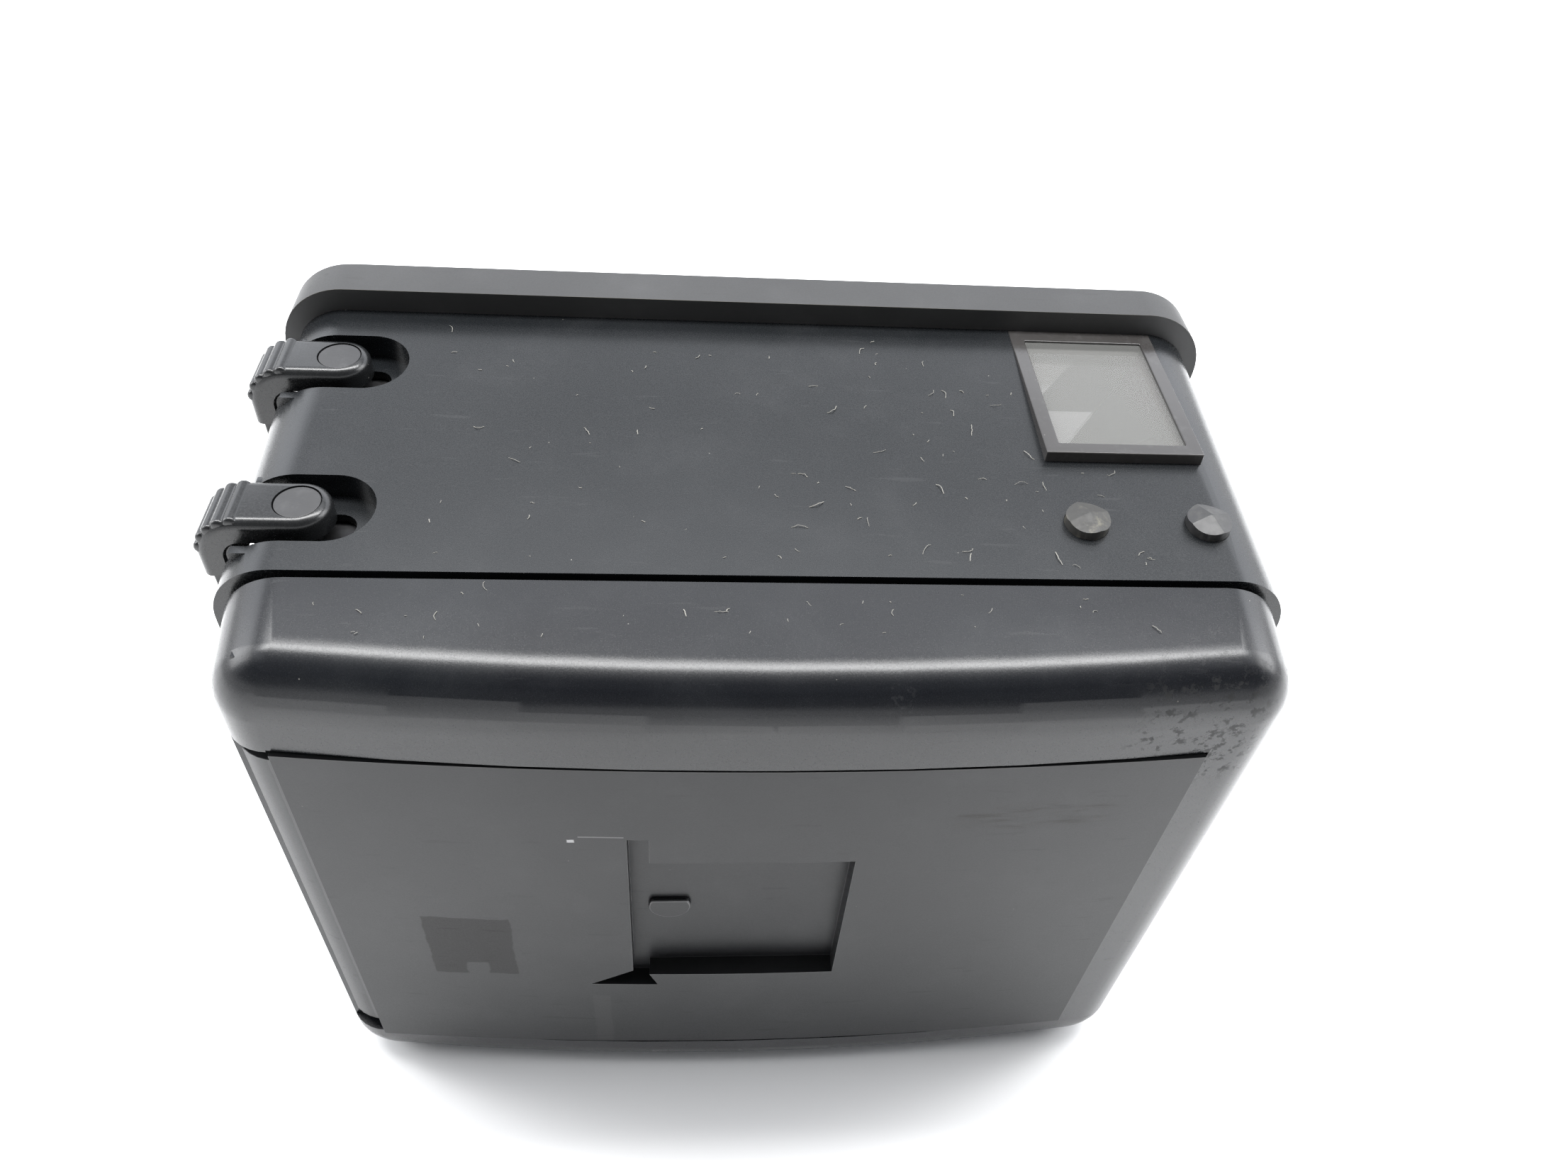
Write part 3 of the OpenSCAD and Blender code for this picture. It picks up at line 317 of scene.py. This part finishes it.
def box_mask(n, x0, x1, z0, z1, soft, wobble, scale=180):
    """Soft-edged rectangle in X and Z with an uneven outline."""
    shake = n.times(n.maths("SUBTRACT", n.noise(scale, 4, 0.6), 0.5), wobble * MM)
    mask = 1.0
    for along, first, last in ((n.plus(n.axis(0), shake), x0, x1),
                               (n.maths("SUBTRACT", n.axis(2), shake), z0, z1)):
        mask = n.times(n.band(along, (first - soft) * MM, first * MM), mask)
        mask = n.times(n.band(along, last * MM, (last + soft) * MM, 1.0, 0.0), mask)
    return mask


# near black painted shade that stands in for the strip's hole and slots
SLOT_PAINTED_SHADE = (0.003, 0.003, 0.003)


def cover_marks(n, colour, roughness):
    """Left by a label, by glue and by handling on the cover plate."""
    label = box_mask(n, -46.5, -34.5, 33.5, 50, 0.3, 1.6)
    torn = n.times(box_mask(n, -41.7, -38.8, 28, 36.6, 0.4, 2.5), -1.0)
    label = n.maths("MAXIMUM", n.plus(label, torn), 0.0)
    colour = n.mix(n.times(label, 0.5), colour, (0.008, 0.0065, 0.006))
    roughness = n.plus(roughness, n.times(label, 0.16))
    fibrous = n.noise(900, 5, 0.7, n.stretched((0.16, 1, 1.2)))
    streak = n.times(box_mask(n, 26, 44, 74.9, 76.2, 3.0, 1.2, 260), n.band(fibrous, 0.4, 0.7))
    colour = n.mix(n.times(streak, 0.4), colour, (0.065, 0.062, 0.056))
    roughness = n.plus(roughness, n.times(streak, 0.25))
    run = box_mask(n, -23.6, -21.4, 10.5, 26.5, 0.5, 1.2)
    colour = n.mix(n.times(run, 0.45), colour, (0.03, 0.03, 0.03))
    line = box_mask(n, -23.5, -17.8, 72.0, 72.15, 0.1, 0.2)
    colour = n.mix(n.times(line, 0.5), colour, (0.2, 0.2, 0.2))
    chip = box_mask(n, -24.9, -24.1, 70.8, 71.3, 0.15, 0.4, 900)
    colour = n.mix(n.times(chip, 0.8), colour, (0.42, 0.42, 0.42))
    return colour, roughness


STRIP_SPOTS = (
    # x from and to, z from and to, share of the tone, tone
    (-59.4, -59.1, 6, 92, 0.35, (0.12, 0.12, 0.12)),         # painted highlight along the ridge
    (-60.9, -59.5, 84.9, 87.9, 0.8, (0.17, 0.17, 0.17)),     # bare tab
    # painted shade in the strip's slots and hole
    (-61.0, -59.4, 88.3, 89.6, 0.9, SLOT_PAINTED_SHADE),
    (-60.4, -59.7, 27.0, 27.7, 0.9, SLOT_PAINTED_SHADE),
    (-60.4, -59.8, 10.5, 21, 0.8, SLOT_PAINTED_SHADE),
)


def strip_marks(n, colour, roughness):
    """Marks on the dark slide's strip: a painted highlight along its ridge, a bare tab, and painted shade
    in its hole and slots.
    """
    for x0, x1, z0, z1, share, tone in STRIP_SPOTS:
        spot = box_mask(n, x0, x1, z0, z1, 0.15, 0.2, 500)
        colour = n.mix(n.times(spot, share), colour, tone)
    return colour, roughness


def door_marks(n, colour, roughness):
    """Crazed glue near one corner of the door's back, and a rub on its top."""
    area = box_mask(n, 45, 58, 84, 97, 4, 6, 120)
    crack = n.band(n.cells(900, "Distance", n.stretched((1, 1, 0.6))), 0.0, 0.16, 1.0, 0.0)
    thread = n.times(n.band(n.noise(620, 5, 0.7), 0.52, 0.6), area)
    colour = n.mix(n.times(thread, 0.8), colour, (0.001, 0.001, 0.001))
    roughness = n.plus(roughness, n.times(thread, 0.35))
    roughness = n.plus(roughness, n.times(n.times(crack, area), 0.2))
    grains = n.band(n.noise(1500, 3), 0.55, 0.65)
    rub = n.times(box_mask(n, 13.5, 15.5, 94, 99, 1, 1, 200), grains)
    colour = n.mix(n.times(rub, 0.04), colour, (0.16, 0.16, 0.16))
    return colour, roughness


shell_paint = satin_paint("satin_black_shell", (0.005, 0.006, 0.007), (0.0075, 0.0085, 0.0095), 0.25)
# lighter copy of the shell paint for the bevels: a painted highlight along the edges, with some wear and
# dust
shell_edge = satin_paint("satin_black_shell_edge", (0.075, 0.076, 0.08), (0.11, 0.11, 0.112), 0.2,
                         dust=0.3)
flange_paint = satin_paint("satin_black_flange", (0.013, 0.013, 0.013), (0.018, 0.018, 0.018), 0.45,
                           haze=0.12)
# lighter yellowish copy for the flange's bevels: a painted highlight along the edges, with wear and dust
flange_edge = satin_paint("satin_black_flange_edge", (0.04, 0.038, 0.03), (0.075, 0.068, 0.048), 0.36,
                          dust=0.4)
door_paint = satin_paint("satin_black_door", (0.005, 0.0055, 0.007), (0.007, 0.008, 0.0095), 0.24,
                         marks=door_marks, sheen=0.42)
# lighter copy for the door's bevels: a painted highlight along the edges, with some wear
door_edge = satin_paint("satin_black_door_edge", (0.035, 0.036, 0.038), (0.055, 0.055, 0.056), 0.3)
cover_paint = satin_paint("satin_black_cover", (0.009, 0.0095, 0.0105), (0.0125, 0.013, 0.014), 0.4,
                          dust=0.08, marks=cover_marks, sheen=0.3)
# lighter copy for the cover's bevels, also used on the dark slide's strip: a painted highlight along the
# edges, with some wear
cover_edge = satin_paint("satin_black_cover_edge", (0.05, 0.05, 0.052), (0.08, 0.08, 0.08), 0.34)
slide_paint = satin_paint("satin_black_slide", (0.014, 0.0145, 0.016), (0.019, 0.0195, 0.021), 0.38,
                          marks=strip_marks, sheen=0.3)
insert_paint = satin_paint("insert_grey", (0.06, 0.06, 0.063), (0.08, 0.08, 0.083), 0.5)

latch_gloss = moulded("latch_black", (0.008, 0.0085, 0.009), (0.012, 0.0125, 0.013), 0.24, grain=0.02,
                      worn=(0.03, 0.03, 0.033), amount=0.15)
cap_black = moulded("latch_cap_black", (0.016, 0.016, 0.017), (0.022, 0.022, 0.022), 0.42)
grip_black = moulded("grip_black", (0.012, 0.012, 0.013), (0.02, 0.02, 0.02), 0.42, grain=0.3)
button_dusty = moulded("button_rubber_dusty", (0.018, 0.0175, 0.016), (0.036, 0.034, 0.028), 0.55,
                       grain=0.5, scale=1400, worn=(0.1, 0.093, 0.07), amount=0.9)
button_black = moulded("button_rubber", (0.01, 0.01, 0.0105), (0.017, 0.017, 0.0175), 0.42,
                       grain=0.4, scale=1400, worn=(0.045, 0.044, 0.04), amount=0.7)
fibre = moulded("lint_fibre", (0.2, 0.195, 0.175), (0.27, 0.26, 0.235), 0.8, worn=(0.15, 0.145, 0.125))
bezel_gloss = moulded("bezel_black", (0.03, 0.028, 0.027), (0.036, 0.034, 0.033), 0.2, grain=0.04)
frame_matt = moulded("chamber_black", (0.012, 0.012, 0.012), (0.02, 0.02, 0.02), 0.6, grain=0.5,
                     scale=1800)
foam = moulded("foam_black", (0.01, 0.01, 0.01), (0.02, 0.02, 0.02), 0.95, grain=1.0, scale=2400)
spool_black = moulded("spool_black", (0.02, 0.02, 0.02), (0.03, 0.03, 0.03), 0.4)
nylon = moulded("gear_nylon", (0.62, 0.6, 0.53), (0.7, 0.68, 0.62), 0.42, grain=0.1,
                worn=(0.5, 0.47, 0.4))
board = moulded("board_green", (0.012, 0.09, 0.045), (0.02, 0.13, 0.065), 0.35, grain=0.1,
                worn=(0.03, 0.15, 0.08))
zebra = moulded("zebra_rubber", (0.2, 0.13, 0.15), (0.3, 0.2, 0.22), 0.6)

steel = metal("turned_steel", (0.42, 0.42, 0.42), (0.55, 0.55, 0.54), 0.3)
spring_steel = metal("spring_steel", (0.5, 0.5, 0.5), (0.6, 0.6, 0.58), 0.22, (12, 1, 1))
chrome = metal("roller_chrome", (0.6, 0.6, 0.61), (0.7, 0.7, 0.7), 0.12)
brass = metal("cut_brass", (0.52, 0.38, 0.15), (0.62, 0.47, 0.2), 0.28, (8, 8, 1))
gold = metal("contact_gold", (0.7, 0.5, 0.18), (0.78, 0.58, 0.24), 0.2)
blackened = metal("blackened_steel", (0.035, 0.035, 0.037), (0.06, 0.06, 0.06), 0.34, metallic=0.7)


def lcd_material():
    """Blank liquid crystal glass: a soft grey-green."""
    n = Nodes("lcd_grey_green")
    tone = n.mix(n.band(n.noise(90, 3), 0.3, 0.7), (0.25, 0.26, 0.222), (0.28, 0.29, 0.248))
    n.set(Base_Color=tone, Roughness=n.band(n.noise(2500, 2), 0.2, 0.8, 0.3, 0.38),
          Normal=n.bump(n.noise(300, 2), 0.005, 0.002))
    return n.material


def glass_material():
    """Clear moulded window: nearly invisible, with a thin gloss and faint dust."""
    n = Nodes("window_clear")
    dust = n.band(n.noise(1200, 4), 0.5, 0.8, 0.0, 0.12)
    n.set(Base_Color=n.mix(dust, (0.5, 0.5, 0.48), (0.6, 0.6, 0.57)), Alpha=0.14, IOR=1.45,
          Roughness=n.band(n.noise(300, 2), 0.3, 0.7, 0.03, 0.08),
          Normal=n.bump(n.noise(100, 2), 0.004, 0.002))
    return n.material


lcd_glass = lcd_material()
clear = glass_material()

# ---------------------------------------------------------------- CAD nodes with their own shape

KEPT = (
    (frame_matt, ("inner_frame", "gate_mask", "pressure_plate")),
    (foam, ("slide_light_seal", "door_light_seal")),
    (zebra, ("lcd_contact_strips",)),
    (board, ("circuit_board",)),
    (chrome, ("coin_cell", "guide_roller_left", "guide_roller_right")),
    (gold, ("cell_clip", "contact_pins")),
    (steel, ("dome_switches", "hinge_pin", "insert_screws", "roller_shafts", "supply_stud", "gear_shafts",
             "upper_stud_left", "upper_stud_right", "door_catch")),
    (grip_black, ("contact_block", "insert_core")),
    (blackened, ("flange_screws", "front_latch_slider", "rear_latch_slider", "plate_screws")),
    (insert_paint, ("insert_base_plate", "insert_top_plate")),
    (spring_steel, ("pressure_springs", "stud_springs", "latch_springs", "insert_hold_springs")),
    (spool_black, ("supply_spool", "take_up_spool")),
    (brass, ("take_up_gear", "drive_gear")),
    (nylon, ("idler_gear",)),
    (slide_paint, ("dark_slide_blade",)),
)
for material, nodes in KEPT:
    for node in nodes:
        mesh = NODES[node].data
        mesh.materials.clear()
        mesh.materials.append(material)

# ---------------------------------------------------------------- painted castings

reworked("housing_shell", "housing", "shell_black", (shell_paint, shell_edge), edge=0.42, segments=3)
reworked("mount_flange", "housing", "flange_black", (flange_paint, flange_edge), edge=0.45, segments=3)
reworked("rear_door", "rear_door", "door_black", (door_paint, door_edge), edge=0.2, angle=40)
reworked("back_cover_plate", "rear_door", "cover_black", (cover_paint, cover_edge), edge=0.16)
reworked("memo_spring", "rear_door", "cover_black", (cover_paint, cover_edge), edge=0.25, segments=3)
reworked("lcd_bezel", "housing", "bezel_black", (bezel_gloss,), edge=0.35, segments=3)


def block(middle, size):
    nothing_selected()
    bpy.ops.mesh.primitive_cube_add(size=1, location=middle, scale=size)
    return bpy.context.object


def pane(node, body, slot, material, edge):
    """A flat pane with eased edges in the place of a CAD node."""
    low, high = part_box(node)
    piece = block([(a + b) / 2 for a, b in zip(low, high)], [b - a for a, b in zip(low, high)])
    piece.name = node + "_pane"
    settle(piece)
    piece.data.materials.append(material)
    round_edges(piece, edge, 2)
    smooth(piece, 40)
    finish_piece(piece, body, [node], slot)


pane("lcd_window", "housing", "window_clear", clear, 0.15)
pane("lcd_panel", "housing", "lcd_grey", lcd_glass, 0.1)
reworked("dark_slide_handle", "dark_slide", "door_black", (slide_paint, cover_edge), edge=0.25)

# ---------------------------------------------------------------- latches and buttons

# mm and degrees
ARM_THICK = 3.6
ARM_ROUND = 1.25
ARM_EASE = 0.3
SHOULDER = 6.0
ROUND_STEPS = 6
END_STEPS = 20
SHOULDER_STEPS = 12
CAP_RECESS = 2.95
RIDGE_ANGLES = (98, 115, 132, 149, 166)
RIDGE_RADIUS = 1.0
RIDGE_REACH = 5.3
GUSSET_IN, GUSSET_DOWN = 3.9, 5.6
GUSSET_WIDE, GUSSET_TALL = 1.9, 4.6


def open_edges(piece, wanted):
    """Goes into edit mode with only the wanted open edges selected."""
    only(piece)
    bpy.ops.object.mode_set(mode="EDIT")
    bpy.ops.mesh.select_mode(type="EDGE")
    bpy.ops.mesh.select_all(action="DESELECT")
    bpy.ops.mesh.select_non_manifold(extend=False, use_wire=False, use_boundary=True, use_multi_face=False,
                                     use_non_contiguous=False, use_verts=False)
    bpy.ops.object.mode_set(mode="OBJECT")
    points = piece.data.vertices
    for edge in piece.data.edges:
        a, b = (points[i].co for i in edge.vertices)
        edge.select = edge.select and wanted(a, b)
    bpy.ops.object.mode_set(mode="EDIT")


def cut_recess(arm, place):
    """A round recess for the cap, in the arm's top."""
    nothing_selected()
    bpy.ops.mesh.primitive_cylinder_add(vertices=48, radius=CAP_RECESS * MM, depth=2 * MM, location=place)
    cutter = bpy.context.object
    settle(cutter)
    cut = arm.modifiers.new("recess", "BOOLEAN")
    cut.operation = "DIFFERENCE"
    cut.solver = "EXACT"
    cut.object = cutter
    apply_all(arm)
    bpy.data.objects.remove(cutter)


def ridge_at(place, length):
    nothing_selected()
    bpy.ops.mesh.primitive_cylinder_add(vertices=20, radius=RIDGE_RADIUS * MM, depth=length * MM,
                                        location=place, rotation=(math.pi / 2, 0, 0))
    ridge = bpy.context.object
    settle(ridge)
    round_edges(ridge, 0.55, 3, 50)
    return ridge


def latch_arm(side):
    """A thick bar with a half-round end, rounded along its upper edges, that turns down over the side."""
    low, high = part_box(side + "_latch_head")
    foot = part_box(side + "_latch_grip")[1][2] / MM
    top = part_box(side + "_latch_pin")[1][2] / MM + 0.1
    middle = (low[1] + high[1]) / 2 / MM
    half = (high[1] - low[1]) / 2 / MM
    left, end = low[0] / MM, high[0] / MM
    centre = end - half
    nothing_selected()
    bpy.ops.mesh.primitive_circle_add(vertices=4, radius=MM, location=(0, 0, 0))
    arm = bpy.context.object
    arm.name = side + "_latch_arm"
    # half of the bar's section, from the middle of its top to the middle of its underside
    section = [(0, top)]
    for step in range(ROUND_STEPS + 1):
        a = math.radians(90 - 90 / ROUND_STEPS * step)
        section.append((half - ARM_ROUND + ARM_ROUND * math.cos(a),
                        top - ARM_ROUND + ARM_ROUND * math.sin(a)))
    underside = top - ARM_THICK
    section += [(half, underside + ARM_EASE), (half - ARM_EASE, underside), (0, underside)]
    arm.data.clear_geometry()
    arm.data.from_pydata([mm(centre, middle - y, z) for y, z in section],
                         [(i, i + 1) for i in range(len(section) - 1)], [])
    # round end
    in_edit(arm)
    bpy.ops.mesh.spin(steps=END_STEPS, angle=math.pi, center=mm(centre, middle, top), axis=(0, 0, 1),
                      use_normal_flip=False)
    bpy.ops.mesh.select_all(action="SELECT")
    bpy.ops.mesh.remove_doubles(threshold=SAME_POINT_SPUN * MM)
    out_of_edit()
    if max(v.co.x for v in arm.data.vertices) < (centre + 1) * MM:
        for v in arm.data.vertices:
            v.co.x = 2 * centre * MM - v.co.x
    # bar, shoulder and leg
    edge_of_bar = (centre + 0.01) * MM
    open_edges(arm, lambda a, b: a.x < edge_of_bar and b.x < edge_of_bar)
    bar = mm(left + SHOULDER - centre, 0, 0)
    leg = mm(0, 0, foot - (top - SHOULDER))
    bpy.ops.mesh.extrude_edges_move(TRANSFORM_OT_translate={"value": bar})
    bpy.ops.mesh.spin(steps=SHOULDER_STEPS, angle=math.pi / 2, axis=(0, 1, 0),
                      center=mm(left + SHOULDER, middle, top - SHOULDER))
    bpy.ops.mesh.extrude_edges_move(TRANSFORM_OT_translate={"value": leg})
    bpy.ops.mesh.edge_face_add()
    bpy.ops.mesh.select_all(action="SELECT")
    bpy.ops.mesh.remove_doubles(threshold=SAME_POINT_SPUN * MM)
    bpy.ops.mesh.normals_make_consistent(inside=False)
    out_of_edit()
    cut_recess(arm, mm(centre, middle, top))
    added = []
    for angle in RIDGE_ANGLES:
        a = math.radians(angle)
        place = mm(left + SHOULDER + RIDGE_REACH * math.cos(a), middle,
                   top - SHOULDER + RIDGE_REACH * math.sin(a))
        added.append(ridge_at(place, 2 * half - 0.5))
    # gusset behind the shoulder
    gusset = block(mm(left + GUSSET_IN, middle, top - GUSSET_DOWN),
                   mm(GUSSET_WIDE, 2 * half - 0.6, GUSSET_TALL))
    settle(gusset)
    round_edges(gusset, 0.2, 2)
    added.append(gusset)
    only(arm)
    for piece in added:
        piece.select_set(True)
    bpy.ops.object.join()
    arm.data.materials.append(latch_gloss)
    smooth(arm, 40)
    finish_piece(arm, side + "_latch", [side + "_latch_head"], "latch_black")


for side in ("front", "rear"):
    body = side + "_latch"
    latch_arm(side)
    reworked(side + "_latch_grip", body, "grip_black", (grip_black,), edge=0.3, segments=3)
    reworked(side + "_latch_pin", body, "latch_black", (cap_black,), edge=0.12)
for side, rubber in (("left", button_dusty), ("right", button_black)):
    reworked("button_" + side, side + "_button", "button_rubber", (rubber,), edge=0.14, angle=12)

# ---------------------------------------------------------------- lint and dust

# the painted upper faces, in mm
LID_TOP = 104.0
LID_SLOPE = 2.8 / 50.2
FLANGE_REAR = 25.1
SEAM = -25.1
DOOR_TOP = 101.2
DOOR_SLOPE = 0.7 / 11.1
DOOR_GAP = 1.2
SURFACE = {"housing": lambda y: LID_TOP - (FLANGE_REAR - y) * LID_SLOPE,
           "rear_door": lambda y: DOOR_TOP - max(0.0, SEAM - DOOR_GAP - y) * DOOR_SLOPE}
FIBRE_PARTS = 5
FIBRE_THICK = 0.045
CRUMB_SHARE, CRUMB_SCALE = 0.45, 0.35


def lint(name, body, slot, place, count, seed, sizes):
    """Curled fibres lying on a surface, and small crumbs between them."""
    draw = random.Random(seed)
    points, faces = [], []
    for _ in range(count):
        x, y = place(draw)
        length = draw.uniform(*sizes) * (CRUMB_SCALE if draw.random() < CRUMB_SHARE else 1.0)
        heading, curl = draw.uniform(0, 2 * math.pi), draw.uniform(-1.6, 1.6)
        r = FIBRE_THICK * draw.uniform(0.6, 1.4)
        first = len(points)
        for k in range(FIBRE_PARTS + 1):
            lift = 0.16 * length * math.sin(math.pi * k / FIBRE_PARTS) * draw.random()
            z = SURFACE[body](y) + r * 0.6 + lift
            side_x, side_y = -math.sin(heading) * r, math.cos(heading) * r
            points += [mm(x + side_x, y + side_y, z), mm(x, y, z + r), mm(x - side_x, y - side_y, z),
                       mm(x, y, z - r)]
            x += math.cos(heading) * length / FIBRE_PARTS
            y += math.sin(heading) * length / FIBRE_PARTS
            heading += curl / FIBRE_PARTS + draw.uniform(-0.35, 0.35)
            if k:
                a = first + 4 * (k - 1)
                faces += [(a + i, a + 4 + i, a + 4 + (i + 1) % 4, a + (i + 1) % 4) for i in range(4)]
        last = first + 4 * FIBRE_PARTS
        faces += [(first + 3, first + 2, first + 1, first), tuple(last + i for i in range(4))]
    mesh = bpy.data.meshes.new(name)
    mesh.from_pydata(points, [], faces)
    piece = bpy.data.objects.new(name, mesh)
    bpy.context.scene.collection.objects.link(piece)
    in_edit(piece)
    bpy.ops.mesh.normals_make_consistent(inside=False)
    out_of_edit()
    smooth(piece, 60, weighted=False)
    finish_piece(piece, body, [], slot, fibre)


def on_lid(draw):
    """A place on the lid; more of them towards the display's corner, none on the window or buttons."""
    while True:
        x, y = draw.uniform(-50, 54), draw.uniform(SEAM + 1.5, FLANGE_REAR - 2)
        busy = 0.25 + 0.75 * max(0.0, (x + 10) / 64) * max(0.15, (FLANGE_REAR - y) / 48)
        clear_of_window = not (37 < x and y > -6)
        clear_of_buttons = abs(y + 15.5) > 4.5 or x < 36
        if draw.random() < busy and clear_of_window and clear_of_buttons:
            return x, y


def on_door(draw):
    return draw.uniform(-55, 55), draw.uniform(-35, SEAM - 2.5)


lint("lint_on_housing", "housing", "shell_black", on_lid, 95, 5, sizes=(0.5, 2.4))
lint("lint_on_door", "rear_door", "door_black", on_door, 30, 11, sizes=(0.4, 1.8))

# ---------------------------------------------------------------- floor, light, camera

def stage_floor():
    nothing_selected()
    bpy.ops.mesh.primitive_plane_add(size=6, location=(0, 0, -0.0001))
    floor = bpy.context.object
    floor.name = "floor"
    n = Nodes("pale_floor")
    tone = n.mix(n.band(n.noise(9, 3), 0.3, 0.7), (0.93, 0.93, 0.925), (0.95, 0.95, 0.95))
    n.set(Base_Color=tone, Roughness=0.7, Normal=n.bump(n.noise(400, 2), 0.02, 0.02))
    floor.data.materials.append(n.material)


def soft_box(name, place, aim, size, power):
    light = bpy.data.lights.new(name, "AREA")
    light.shape = "RECTANGLE"
    light.size, light.size_y = size
    light.energy = power
    lamp = bpy.data.objects.new(name, light)
    bpy.context.scene.collection.objects.link(lamp)
    lamp.location = place
    lamp.rotation_mode = "QUATERNION"
    lamp.rotation_quaternion = (Vector(aim) - Vector(place)).to_track_quat("-Z", "Y")


HORIZON = ((0.42, 0.7), (0.54, 0.85), (0.61, 0.3), (0.68, 0.12), (0.745, 0.28), (0.78, 1.0), (0.85, 0.25))
BELOW, ZENITH = 0.33, 0.4
ROOM_STRENGTH = 4.0


def room():
    """White backdrop at the horizon, dimmer overhead, and darker behind the camera."""
    world = bpy.data.worlds.new("pale_room")
    bpy.context.scene.world = world
    world.use_nodes = True
    tree = world.node_tree
    new, link = tree.nodes.new, tree.links.new

    def band(value, low, high, to_low, to_high):
        n = new("ShaderNodeMapRange")
        n.interpolation_type = "SMOOTHSTEP"
        sockets = ("From Min", "From Max", "To Min", "To Max")
        for socket, v in zip(sockets, (low, high, to_low, to_high)):
            n.inputs[socket].default_value = v
        link(value, n.inputs["Value"])
        return n.outputs["Result"]

    split = new("ShaderNodeSeparateXYZ")
    link(new("ShaderNodeTexCoord").outputs["Generated"], split.inputs[0])
    height = new("ShaderNodeValToRGB")
    link(split.outputs["Z"], height.inputs[0])
    ramp = height.color_ramp
    for e, at, level in zip(ramp.elements, (0.0, 1.0), (BELOW, ZENITH)):
        e.position, e.color = at, (level, level, level, 1)
    for at, level in HORIZON:
        ramp.elements.new(at).color = (level * 0.97, level, level * 1.06, 1)
    front = band(split.outputs["Y"], -0.45, 0.2, 0.06, 1.0)
    low = band(split.outputs["Z"], 0.05, 0.3, 1.0, 0.0)
    most = new("ShaderNodeMath")
    most.operation = "MAXIMUM"
    link(front, most.inputs[0])
    link(low, most.inputs[1])
    dim = new("ShaderNodeVectorMath")
    dim.operation = "SCALE"
    link(height.outputs[0], dim.inputs[0])
    link(most.outputs[0], dim.inputs["Scale"])
    back = next(x for x in tree.nodes if x.type == "BACKGROUND")
    link(dim.outputs[0], back.inputs["Color"])
    back.inputs["Strength"].default_value = ROOM_STRENGTH


def lights():
    soft_box("overhead", (0.0, 0.17, 0.94), (0, 0, 0.08), (1.2, 0.22), 18)
    for name, x in (("left", -0.8), ("right", 0.8)):
        soft_box(name, (x, 0.1, 0.5), (0, 0, 0.05), (0.5, 0.5), 4)


LENS = 26.563
CAMERA_PLACE = mm(-10.44, -122.99, 200.62)
CAMERA_RIGHT = (0.99624503, -0.0514543, 0.06962969)
CAMERA_UP = (-0.01124277, 0.72054302, 0.69331909)
CAMERA_BACK = (-0.08584544, -0.69149852, 0.71725892)


def camera():
    data = bpy.data.cameras.new("camera")
    data.sensor_fit = "HORIZONTAL"
    data.sensor_width = 36.0
    data.lens = LENS
    data.clip_start = 0.005
    data.clip_end = 50
    view = bpy.data.objects.new("camera", data)
    bpy.context.scene.collection.objects.link(view)
    columns = (CAMERA_RIGHT, CAMERA_UP, CAMERA_BACK, CAMERA_PLACE)
    place = Matrix.Identity(4)
    for column, axis in enumerate(columns):
        for row in range(3):
            place[row][column] = axis[row]
    view.matrix_world = place
    bpy.context.scene.camera = view


stage_floor()
room()
lights()
camera()
bpy.context.scene.view_settings.view_transform = "Standard"
bpy.context.scene.view_settings.look = "None"

bpy.context.view_layer.update()
